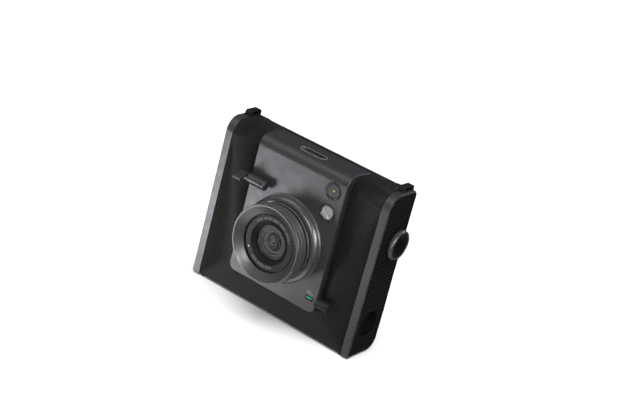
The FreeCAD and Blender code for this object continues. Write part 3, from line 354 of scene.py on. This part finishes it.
MATS = {
    "case_black": moulded("case_black", (0.0055, 0.0055, 0.006), 0.42, 0.018, 0.24),
    "front_grip": grip("front_grip", "x", FRONT_PITCH, 0.55),
    # The sides' leatherette is the front's with a darker base: painted shade on the sides.
    "side_grip_shaded": grip("side_grip_shaded", "y", SIDE_PITCH, 0.12, SIDE_TILT, (0.003, 0.003, 0.0032)),
    "trim_metal": painted("trim_metal", (0.15, 0.15, 0.162), 0.36),
    "plate_metal": painted("plate_metal", (0.135, 0.134, 0.142), 0.38),
    "lens_metal": turned("lens_metal", (0.3, 0.3, 0.31), 0.27),
    # The barrel is painted near black inside 26.6 mm, in its grooves and neck, and darker at its
    # edges: painted shade.
    "barrel_metal": turned("barrel_metal", (0.5, 0.5, 0.51), 0.34, lines=0.02, edge_wear_and_painted_light=0.5,
                           rim=(26.6, 0.12, 1.0)),
    "ring_metal": turned("ring_metal", (0.34, 0.34, 0.347), 0.32, lines=0.02, edge_wear_and_painted_light=1.1),
    # The bezel's outer rim past 26.2 mm and its edges are painted darker: painted shade damping
    # their highlights.
    "bezel_metal": turned("bezel_metal", (0.25, 0.25, 0.258), 0.29, lines=0.02, grain=0.75,
                          edge_wear_and_painted_light=0.8, rim=(26.2, 1.0, 0.7)),
    "ring_black": moulded("ring_black", (0.008, 0.0078, 0.0068), 0.4, 0.006, 0.4),
    "lever_metal": painted("lever_metal", (0.085, 0.085, 0.09), 0.34),
    "paddle_metal": painted("paddle_metal", (0.14, 0.14, 0.147), 0.34),
    "dark_metal": painted("dark_metal", (0.055, 0.055, 0.058), 0.32, edge_wear_and_painted_light=3.0),
    "bright_metal": painted("bright_metal", (0.34, 0.34, 0.35), 0.25, metal=1.0),
    "lamp_rim": turned("lamp_rim", (0.12, 0.12, 0.125), 0.2, centre=LAMP),
    "mirror_rim": turned("mirror_rim", (0.12, 0.12, 0.125), 0.2, centre=MIRROR),
    "window_glass": glassy("window_glass", (0.13, 0.135, 0.128), 0.3),
    "lens_glass": glassy("lens_glass", (0.04, 0.042, 0.045), 0.22, coat=0.1, ior=1.25),
    "inner_glass": glassy("inner_glass", (0.012, 0.012, 0.02), 0.8, coat=0.5),
    "gloss_black": glossy("gloss_black", (0.006, 0.006, 0.007)),
    "crank_black": glossy("crank_black", (0.003, 0.003, 0.0033), 0.3, gloss=0.2, coat=0.0),
    "iris_metal": turned("iris_metal", (0.15, 0.15, 0.157), 0.4, grain=0.3, lines=0.002,
                         edge_wear_and_painted_light=1.0),
    "lip_black": glossy("lip_black", (0.014, 0.012, 0.019), 0.3, coat=0.15),
    "button_black": moulded("button_black", (0.022, 0.022, 0.024), 0.36, 0.008, 0.5),
    "rubber_black": moulded("rubber_black", (0.012, 0.012, 0.012), 0.75, 0.03, 0.3, 1.2),
    "lamp_cream": moulded("lamp_cream", (0.8, 0.7, 0.22), 0.4, 0.004, 0.4, 1.1),
    "lamp_bowl": turned("lamp_bowl", (0.05, 0.05, 0.042), 0.4, centre=LAMP, metal=0.4, lines=0.001,
                        edge_wear_and_painted_light=1.0),
    "inner_plastic": moulded("inner_plastic", (0.02, 0.02, 0.02), 0.55, 0.02, 0.35),
    "roller_rubber": moulded("roller_rubber", (0.035, 0.035, 0.036), 0.65, 0.04, 0.3, 1.3),
    "motor_steel": painted("motor_steel", (0.4, 0.4, 0.4), 0.28, metal=1.0),
    "board_green": glossy("board_green", (0.012, 0.085, 0.035), 0.35),
    "cell_grey": moulded("cell_grey", (0.09, 0.09, 0.1), 0.4, 0.01, 0.4),
    "pale_ink": inked("pale_ink", (0.11, 0.125, 0.128)),
    "white_ink": inked("white_ink", (0.75, 0.75, 0.74)),
    "green_ink": inked("green_ink", (0.0, 0.26, 0.17)),
    "red_ink": inked("red_ink", (0.3, 0.05, 0.05)),
    "dial_metal": turned("dial_metal", (0.3, 0.3, 0.31), 0.28, axis="X", centre=DIAL),
    "retainer": turned("retainer", (0.13, 0.13, 0.137), 0.4, grain=0.3),
    "dial_black": moulded("dial_black", (0.005, 0.005, 0.0053), 0.5, 0.03, 0.12, 2.2, 5200),
    # A bright pinkish ring round the pill's hole: a painted reflection and glint on the hole's
    # wall.
    "pill_rim_painted_glint": painted("pill_rim_painted_glint", (0.5, 0.47, 0.49), 0.25),
    "screen_ink": glossy("screen_ink", (0.016, 0.018, 0.024), 0.1),
    "icon_ink": inked("icon_ink", (0.5, 0.52, 0.54)),
    # A glossy black disc over the iris's centre: painted shade standing for the dark opening into
    # the camera.
    "pupil_painted_shade": glossy("pupil_painted_shade", (0.012, 0.012, 0.014)),
}


def mirror_look():
    """A polished convex mirror with the faintest haze."""
    look = Look("mirror_glass", metal=0.78)
    look.colour(look.blend(look.noise(120, 2), (0.86, 0.87, 0.88), (0.94, 0.94, 0.95)))
    look.rough(look.span(look.noise(300, 3), 0.3, 0.7, 0.02, 0.07))
    return look.mat


MATS["mirror_glass"] = mirror_look()


# ---------------------------------------------------------------- mesh makers


def piece(name, mesh, look, body, smooth=35):
    """A new visible piece, riding on a body, with its material and slot."""
    mesh.validate()
    mesh.shade_smooth()
    mesh.set_sharp_from_angle(angle=math.radians(smooth))
    obj = bpy.data.objects.new(name, mesh)
    bpy.context.scene.collection.objects.link(obj)
    mesh.materials.append(MATS[look])
    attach(obj, body)
    return obj


def lathe(outline, axis="Y", centre=(0.0, LENS_Z), count=144, knurl=None):
    """A closed outline of (radius, along) in mm turned about an axis.

    knurl is (low, high, depth, teeth): between those places along the axis, radii at the
    outside are cut by that depth between the teeth."""
    mesh = bpy.data.meshes.new("turned")
    bm = bmesh.new()
    rings = []
    if knurl:
        count = knurl[3] * 4
    for radius, place in outline:
        ring = []
        if radius < 1e-6:
            ring = [bm.verts.new(spot(axis, centre, 0.0, 0.0, place))] * count
        else:
            for k in range(count):
                r = radius
                if knurl and knurl[0] <= place <= knurl[1] and k % 4 in (0, 1):
                    r -= knurl[2]
                ring.append(bm.verts.new(spot(axis, centre, r, TAU * (k + 0.5) / count, place)))
        rings.append(ring)
    for i, ring in enumerate(rings):
        nxt = rings[(i + 1) % len(rings)]
        if ring[0] is ring[1] and nxt[0] is nxt[1]:
            continue
        for k in range(count):
            m = (k + 1) % count
            corners = []
            for v in (ring[k], ring[m], nxt[m], nxt[k]):
                if v not in corners:
                    corners.append(v)
            bm.faces.new(corners)
    bmesh.ops.recalc_face_normals(bm, faces=bm.faces)
    bm.to_mesh(mesh)
    bm.free()
    return mesh


def spot(axis, centre, radius, angle, place):
    """A point in metres from its radius, angle and place along an axis."""
    a = radius * math.sin(angle)
    b = radius * math.cos(angle)
    if axis == "Y":
        return Vector((centre[0] + a, place, centre[1] + b)) * MM
    return Vector((place, centre[0] + a, centre[1] + b)) * MM


def slab(outline, low, high, axis="Y", bevel=0.0):
    """A flat outline of two coordinates in mm given thickness along an axis."""
    mesh = bpy.data.meshes.new("slab")
    bm = bmesh.new()
    place = {
        "Y": lambda a, b, t: Vector((a, t, b)) * MM,
        "X": lambda a, b, t: Vector((t, a, b)) * MM,
        "Z": lambda a, b, t: Vector((a, b, t)) * MM,
    }[axis]
    lower = [bm.verts.new(place(a, b, low)) for a, b in outline]
    upper = [bm.verts.new(place(a, b, high)) for a, b in outline]
    bm.faces.new(lower)
    bm.faces.new(list(reversed(upper)))
    for i in range(len(lower)):
        j = (i + 1) % len(lower)
        bm.faces.new((lower[i], upper[i], upper[j], lower[j]))
    bmesh.ops.recalc_face_normals(bm, faces=bm.faces)
    if bevel > 0:
        rims = [e for e in bm.edges if e.calc_face_angle(0) > 1.0]
        bmesh.ops.bevel(bm, geom=rims, offset=bevel * MM, segments=2, affect="EDGES", profile=0.5)
    bm.to_mesh(mesh)
    bm.free()
    return mesh


def capsule(x, z, half, radius, steps=8):
    """A pill outline about (x, z), long in x."""
    out = []
    for side in (1, -1):
        for k in range(steps + 1):
            a = -math.pi / 2 + math.pi * k / steps
            out.append((x + side * (half - radius + radius * math.cos(a)),
                        z + side * radius * math.sin(a)))
    return out


def joined(meshes):
    """Several small meshes as one."""
    bm = bmesh.new()
    for mesh in meshes:
        bm.from_mesh(mesh)
        bpy.data.meshes.remove(mesh)
    mesh = bpy.data.meshes.new("joined")
    bm.to_mesh(mesh)
    bm.free()
    return mesh


# ---------------------------------------------------------------- CAD nodes' finishes

FINISH = {
    "front_cover": "case_black",
    "left_cheek": "case_black",
    "rear_cover": "case_black",
    "front_skin": "front_grip",
    "left_skin": "side_grip_shaded",
    "right_skin": "side_grip_shaded",
    "left_trim": "trim_metal",
    "right_trim": "trim_metal",
    "face_plate": "plate_metal",
    "top_indicator": "gloss_black",
    "film_exit_lip": "lip_black",
    "strap_lugs": "dark_metal",
    "feet": "rubber_black",
    "tripod_socket": "bright_metal",
    "case_fasteners": "dark_metal",
    "flash_led": "lamp_bowl",
    "shutter_housing": "paddle_metal",
    "shutter_lever": "paddle_metal",
    "wide_lever": "lever_metal",
    "mode_window": "gloss_black",
    "effects_dial": "dial_metal",
    "dial_bush": "dark_metal",
    "crank_disc": "crank_black",
    "crank_handle": "crank_black",
    "door_latch": "button_black",
    "port_cover": "rubber_black",
    "port_block": "inner_plastic",
    "film_door": "case_black",
    "door_hinge_pin": "bright_metal",
    "lcd_screen": "gloss_black",
    "direction_pad": "button_black",
    "ok_button": "button_black",
    "playback_button": "button_black",
    "back_button": "button_black",
    "power_button": "button_black",
    "sensor_board": "board_green",
    "main_board": "board_green",
    "film_chamber": "inner_plastic",
    "film_pack": "inner_plastic",
    "battery": "cell_grey",
    "print_head": "inner_plastic",
    "feed_motor": "motor_steel",
    "motor_pinion": "bright_metal",
    "drive_roller": "roller_rubber",
    "pinch_roller": "roller_rubber",
    "pick_claw": "motor_steel",
    "focus_carrier": "inner_plastic",
    "rear_lens": "inner_glass",
    "lens_collar": "lens_metal",
    "lens_barrel": "barrel_metal",
    "lens_bezel": "bezel_metal",
    "control_ring": "lens_metal",
    "name_ring": "ring_black",
    "front_glass": "lens_glass",
    "lens_retainer": "retainer",
    "front_lens": "inner_glass",
    "flash_bezel": "lamp_rim",
    "flash_window": "window_glass",
    "mirror_bezel": "mirror_rim",
    "selfie_mirror": "mirror_glass",
}

for node, obj in frame["nodes"].items():
    obj.data.materials.clear()
    obj.data.materials.append(MATS[FINISH[node]])


# ---------------------------------------------------------------- lens marks


def ring_marks():
    """A scale on the name ring: short dashes of uneven length, in two arcs."""
    bars = []
    inner, outer = 16.35, 17.85
    runs = ((-52, 66, (3.2, 1.4, 2.2, 4.0, 1.2, 2.6)), (158, 222, (1.6, 3.4, 1.2, 2.4)))
    for start, end, lengths in runs:
        angle = start
        k = 0
        while angle < end:
            width = lengths[k % len(lengths)]
            corners = []
            for r in (inner, outer):
                sweep = (angle, angle + width) if r == inner else (angle + width, angle)
                for a in sweep:
                    t = math.radians(a)
                    corners.append((r * math.sin(t), LENS_Z + r * math.cos(t)))
            bars.append(slab(corners, NAME_FACE + INK_SUNK, NAME_FACE - 0.05))
            angle += width + (1.5 if (k + 1) % 5 else 5.0)
            k += 1
    return joined(bars)


piece("ring_marks", ring_marks(), "pale_ink", "case")
DOT = [(0, NAME_FACE + INK_SUNK), (0.55, NAME_FACE + INK_SUNK), (0.5, NAME_FACE - 0.06),
       (0, NAME_FACE - 0.06)]
piece("ring_dot", lathe(DOT, centre=(-15.2, LENS_Z - 9.0), count=24), "white_ink", "case")

# ---------------------------------------------------------------- marks on the plate


def mode_marks():
    """Two short rows of dashes over the format window."""
    bars = []
    for row, z in enumerate((34.6, 33.2)):
        x = 28.2
        for k, width in enumerate((0.9, 0.5, 0.8, 0.6, 0.9, 0.5) if row else (0.6, 0.9, 0.5, 0.8)):
            bars.append(slab(capsule(x + width / 2, z, width / 2, 0.22, 3),
                             PLATE_FACE + INK_SUNK, PLATE_FACE - INK_PROUD))
            x += width + 0.32
    return joined(bars)


piece("mode_marks", mode_marks(), "icon_ink", "case")
MODE_X = 31.3
piece("mode_green", slab(capsule(MODE_X, 29.9, 2.5, 0.75), WINDOW_FACE, WINDOW_FACE - 0.05),
      "green_ink", "case")
piece("mode_red", slab(capsule(MODE_X, 27.3, 2.6, 0.18, 3), PLATE_FACE + INK_SUNK,
                       PLATE_FACE - INK_PROUD), "red_ink", "case")

# ---------------------------------------------------------------- finely turned pieces


def swap(name, mesh, look, node, smooth=35):
    """A finer piece that stands for a CAD node, on that node's body."""
    obj = piece(name, mesh, look, BODY_OF[node], smooth)
    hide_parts(node)
    return obj


BODY_OF = {node: body for body, nodes in frame["record"]["behaviour"]["bodies"].items()
           for node in nodes}

RING_PROFILE = [
    (26.42, -31.28), (27.5, -31.28), (27.74, -31.16), (27.86, -30.96), (27.86, -30.9),
    (27.86, -28.1), (27.86, -27.98), (27.4, -27.86), (27.4, -27.56), (27.8, -27.42),
    (27.86, -27.3), (27.86, -25.0), (27.72, -24.6), (27.5, -24.36), (26.42, -24.36),
]
swap("control_ring_knurled", lathe(RING_PROFILE, knurl=(-30.92, -28.05, 0.16, 180)),
     "ring_metal", "control_ring", 25)


def dial_profile():
    """The dial's own section: a shaft, a dished underside, a bright wall and a bevelled rim."""
    return [
        (0, 63.7), (1.85, 63.7), (1.97, 63.85), (1.97, 69.98), (9.8, 69.98), (10.2, 70.1),
        (10.7, 70.5), (10.92, 70.9), (10.98, 71.4), (10.98, 71.6), (10.6, 72.9), (10.42, 73.2),
        (10.1, 73.5), (9.7, 73.66), (9.3, 73.68), (9.1, 73.6), (9.02, 73.44), (9.0, 73.3),
        (0, 73.3),
    ]


swap("dial_turned", lathe(dial_profile(), axis="X", centre=DIAL, knurl=(70.95, 72.0, 0.22, 90)),
     "dial_metal", "effects_dial", 30)
piece("dial_face", lathe([(0, 73.31), (8.9, 73.31), (8.9, 73.36), (8.6, 73.4), (0, 73.4)],
                         axis="X", centre=DIAL), "dial_black", "dial")


def dial_marks():
    """A ring of short ticks and one long pointer on the dial's face."""
    bars = []
    for k in range(20):
        angle = TAU * k / 20
        inner = 5.6 if k == 0 else 7.3
        half = 0.22 if k == 0 else 0.14
        across = Vector((math.cos(angle), -math.sin(angle))) * half
        out = Vector((math.sin(angle), math.cos(angle)))
        near = Vector(DIAL) + out * inner
        far = Vector(DIAL) + out * 8.1
        corners = [near - across, near + across, far + across, far - across]
        bars.append(slab([tuple(c) for c in corners], 73.39, 73.43, axis="X"))
    return joined(bars)


piece("dial_marks", dial_marks(), "pale_ink", "dial")

IRIS = [(0, -20.42), (2.9, -20.3), (2.9, -20.52), (2.6, -20.62), (2.2, -20.6), (2.0, -20.5),
        (0, -20.5)]
piece("iris_ring", lathe(IRIS, count=64), "iris_metal", "case")
# A glossy black disc over the iris's centre: painted shade standing for the dark opening into the
# camera.
piece("iris_centre", lathe([(0, -20.5), (1.9, -20.5), (1.7, -20.56), (0, -20.62)], count=48),
      "pupil_painted_shade", "case")
piece("flash_dot", lathe([(0, -9.7), (0, -10.0), (0.4, -9.98), (0.8, -9.84), (0.9, -9.7)],
                         centre=LAMP, count=48), "lamp_cream", "case")


def tube_outline(outer, inner, low, high):
    """A flat ring between two outlines of the same number of points, as one closed mesh."""
    mesh = bpy.data.meshes.new("rim")
    bm = bmesh.new()
    loops = [[bm.verts.new(Vector((a, b, t)) * MM) for a, b in line]
             for line, t in ((outer, low), (outer, high), (inner, high), (inner, low))]
    count = len(outer)
    for k in range(4):
        a, b = loops[k], loops[(k + 1) % 4]
        for i in range(count):
            j = (i + 1) % count
            bm.faces.new((a[i], a[j], b[j], b[i]))
    bmesh.ops.recalc_face_normals(bm, faces=bm.faces)
    edges = [e for e in bm.edges if e.calc_face_angle(0) > 1.0]
    bmesh.ops.bevel(bm, geom=edges, offset=0.1 * MM, segments=2, affect="EDGES", profile=0.5)
    bm.to_mesh(mesh)
    bm.free()
    return mesh


# A bright pinkish ring round the pill's hole: a painted reflection and glint on the hole's wall.
piece("indicator_rim", tube_outline(capsule(0.0, -0.5, 10.95, 3.75, 12),
                                    capsule(0.0, -0.5, 10.1, 2.9, 12), 121.9, 122.6),
      "pill_rim_painted_glint", "case")

# ---------------------------------------------------------------- ribbed grip sheets

BEND_CENTRE = Vector((0.0, FRONT_FACE + TOP_BEND, TOP_FACE - TOP_BEND)) * MM


def front_course(co):
    """Distance up and over the front sheet's outer face, and the way out of it."""
    rise = co.z - BEND_CENTRE.z
    back = co.y - BEND_CENTRE.y
    if rise <= 0:
        depth = co.y - FRONT_FACE * MM
        return (co.z, Vector((0, -1, 0)), depth)
    if back >= 0:
        turned_length = TOP_BEND * MM * math.pi / 2
        return (BEND_CENTRE.z + turned_length + back, Vector((0, 0, 1)), TOP_FACE * MM - co.z)
    out = Vector((0, back, rise))
    angle = math.atan2(rise, -back)
    return (BEND_CENTRE.z + TOP_BEND * MM * angle, out.normalized(), TOP_BEND * MM - out.length)


def side_course(side):
    """The same for a side sheet, whose rows run a little uphill."""
    def course(co):
        along = co.z * math.cos(SIDE_TILT) - co.y * math.sin(SIDE_TILT)
        return (along, Vector((side, 0, 0)), SIDE_FACE * MM - abs(co.x))
    return course


def front_cuts():
    """Planes across the front sheet, four to a row: level, then fanned, then upright."""
    step = FRONT_PITCH / 4
    cuts = []
    rows = int((BEND_CENTRE.z / MM) / step)
    cuts += [(Vector((0, 0, k * step)) * MM, Vector((0, 0, 1))) for k in range(rows + 1)]
    fan = int(TOP_BEND * math.pi / 2 / step)
    for k in range(fan + 1):
        angle = k * step / TOP_BEND
        cuts.append((BEND_CENTRE, Vector((0, math.sin(angle), math.cos(angle)))))
    cuts += [(BEND_CENTRE + Vector((0, k * step, 0)) * MM, Vector((0, 1, 0))) for k in range(34)]
    return cuts


def side_cuts():
    step = SIDE_PITCH / 6
    normal = Vector((0, -math.sin(SIDE_TILT), math.cos(SIDE_TILT)))
    return [(normal * k * step * MM, normal) for k in range(-4, 212)]


def ribbed(node, pitch, depth, cuts, course):
    """A copy of a sheet's mesh, cut across and pressed down between its rows."""
    bm = bmesh.new()
    bm.from_mesh(frame["nodes"][node].data)
    bmesh.ops.remove_doubles(bm, verts=bm.verts, dist=1e-6)
    for point, normal in cuts:
        bmesh.ops.bisect_plane(bm, geom=bm.verts[:] + bm.edges[:] + bm.faces[:], dist=1e-7,
                               plane_co=point, plane_no=normal)
    for vert in bm.verts:
        along, out, below = course(vert.co)
        if below < 0.02 * MM:
            press = 0.5 * (1 - math.cos(TAU * along / (pitch * MM)))
            vert.co -= out * press * depth * MM
    mesh = bpy.data.meshes.new("ribbed")
    bm.to_mesh(mesh)
    bm.free()
    return mesh


swap("front_skin_ribbed",
     ribbed("front_skin", FRONT_PITCH, FRONT_DEPTH, front_cuts(), front_course),
     "front_grip", "front_skin", 60)
for side, side_node in ((-1, "left_skin"), (1, "right_skin")):
    swap(side_node + "_ribbed",
         ribbed(side_node, SIDE_PITCH, SIDE_DEPTH, side_cuts(), side_course(side)),
         "side_grip_shaded", side_node, 60)

# ---------------------------------------------------------------- screen and button marks


def strokes(lines, half, low, high):
    """Straight strokes of a symbol, each from one point to another in mm."""
    bars = []
    for start, end in lines:
        start, end = Vector(start), Vector(end)
        run = (end - start).normalized()
        side = Vector((-run.y, run.x)) * half
        corners = [start - side, end - side, end + side, start + side]
        bars.append(slab([tuple(c) for c in corners], low, high))
    return bars


def arc(centre, radius, first, last, steps=14):
    """Points along an arc; angles in degrees from straight up, turning towards +x."""
    out = []
    for k in range(steps + 1):
        t = math.radians(first + (last - first) * k / steps)
        out.append((centre[0] + radius * math.sin(t), centre[1] + radius * math.cos(t)))
    return out


def symbol(name, paths, body, half=0.17):
    """A printed symbol on a key: open paths drawn as thin strokes."""
    bars = []
    for path in paths:
        bars += strokes(zip(path[:-1], path[1:]), half, KEY_FACE - INK_SUNK, KEY_FACE + INK_SUNK)
    piece(name, joined(bars), "icon_ink", body)


symbol("playback_icon", [[(-50.2, 80.7), (-50.2, 83.3), (-52.3, 82.0), (-50.2, 80.7)]],
       "playback_key")
symbol("back_icon", [arc((-36.0, 81.8), 1.3, -120, 90), [(-37.9, 82.3), (-37.1, 81.1),
                                                         (-36.2, 82.0)]], "back_key")
symbol("power_icon", [arc((-51.0, 97.8), 1.35, 35, 325), [(-51.0, 97.9), (-51.0, 99.8)]],
       "power_key")
PAD = (-43.5, 60.0)
symbol("pad_icons", [[(PAD[0] + 6.1 * dx + 0.8 * dz, PAD[1] + 6.1 * dz + 0.8 * dx),
                      (PAD[0] + 7.2 * dx, PAD[1] + 7.2 * dz),
                      (PAD[0] + 6.1 * dx - 0.8 * dz, PAD[1] + 6.1 * dz - 0.8 * dx)]
                     for dx, dz in ((1, 0), (0, 1), (-1, 0), (0, -1))], "pad")
piece("screen_panel", slab([(-20.0, 42.5), (51.5, 42.5), (51.5, 93.5), (-20.0, 93.5)],
                           SCREEN_FACE - INK_PROUD, SCREEN_FACE + INK_PROUD), "screen_ink", "door")

# ---------------------------------------------------------------- stage, light, camera


def softbox(name, place, aim, size, power):
    """A rectangular area light at a place, aimed at a point; all in metres and watts."""
    data = bpy.data.lights.new(name, "AREA")
    data.shape = "RECTANGLE"
    data.size, data.size_y = size
    data.energy = power
    obj = bpy.data.objects.new(name, data)
    bpy.context.scene.collection.objects.link(obj)
    obj.location = place
    obj.rotation_euler = (Vector(aim) - Vector(place)).to_track_quat("-Z", "Z").to_euler()
    return obj


def make_floor():
    """A wide pale floor at the camera's feet."""
    mesh = bpy.data.meshes.new("floor")
    bm = bmesh.new()
    bmesh.ops.create_circle(bm, cap_ends=True, radius=30.0, segments=96)
    bm.to_mesh(mesh)
    bm.free()
    floor = bpy.data.objects.new("floor", mesh)
    bpy.context.scene.collection.objects.link(floor)
    look = Look("floor_paper", gloss=0.2)
    look.colour(look.blend(look.noise(3, 3), (0.9, 0.9, 0.9), (0.93, 0.93, 0.93)))
    look.rough(look.span(look.noise(40, 3), 0.3, 0.7, 0.85, 0.95))
    x, y, _ = look.xyz()
    reach = look.math("SQRT", look.math("ADD", look.math("MULTIPLY", x, x),
                                        look.math("MULTIPLY", y, y)))
    look.shader.inputs["Emission Color"].default_value = (1.0, 1.0, 1.0, 1.0)
    # Far from the object, past the lights, the floor glows so that it stays as pale.
    near, far = 1.2, 3.0
    look.put(look.shader.inputs["Emission Strength"], look.span(reach, near, far, 0.0, 1.0))
    mesh.materials.append(look.mat)
    floor.visible_glossy = False
    floor.visible_shadow = False


make_floor()
AIM = (0.0, -0.01, 0.06)
# Large soft lights that no gloss mirrors, so the metal keeps its dark tones.
UNSEEN = (
    ("overhead", (0.15, -0.45, 2.5), AIM, (2.4, 2.4), 86.0),
    ("front_fill", (-0.5, -1.4, 1.1), AIM, (1.6, 1.6), 16.0),
    ("back_fill", (0.3, 2.2, 2.2), (0.0, 1.2, 0.0), (2.0, 2.0), 25.0),
)
# Small panels, each for one highlight on the plate, the lens or the sides.
PANELS = (
    ("left_low", (-0.215, -0.25, -0.07), (-0.05, -0.01, 0.05), (0.13, 0.13), 0.25),
    ("front_panel", (0.26, -0.78, 0.42), AIM, (0.22, 0.22), 0.62),
    ("right_panel", (0.62, -0.46, 0.22), AIM, (0.3, 0.55), 0.5),
    ("top_left", (-0.32, -0.30, 0.62), AIM, (0.4, 0.4), 0.25),
    ("below", (0.05, -0.22, -0.45), AIM, (0.5, 0.4), 0.35),
    ("side_panel", (0.85, -0.2, 0.42), AIM, (0.3, 0.5), 2.0),
    ("rear_panel", (0.3, 1.0, 0.75), AIM, (0.8, 0.8), 2.2),
)
for light in UNSEEN:
    softbox(*light).visible_glossy = False
for light in PANELS:
    softbox(*light)

world = bpy.data.worlds.new("studio")
bpy.context.scene.world = world
world.use_nodes = True
background = world.node_tree.nodes["Background"]
background.inputs["Color"].default_value = (1.0, 1.0, 1.0, 1.0)
background.inputs["Strength"].default_value = 0.03

camera_data = bpy.data.cameras.new("view")
camera_data.lens = 89.05  # fitted to the photo, with the place and turn below
camera_data.sensor_width = 36.0
camera_data.clip_end = 50.0
camera = bpy.data.objects.new("view", camera_data)
bpy.context.scene.collection.objects.link(camera)
RIGHT = Vector((0.7795, 0.5785, 0.2402))
UP = Vector((-0.4078, 0.1774, 0.8957))
BACK = Vector((0.4756, -0.7961, 0.3742))
CAMERA_PLACE = (0.4971, -0.8212, 0.4752)
turn = Matrix((RIGHT, UP, BACK)).transposed().to_quaternion()
camera.matrix_world = Matrix.Translation(CAMERA_PLACE) @ turn.to_matrix().to_4x4()
bpy.context.scene.camera = camera
bpy.context.scene.view_settings.view_transform = "Standard"
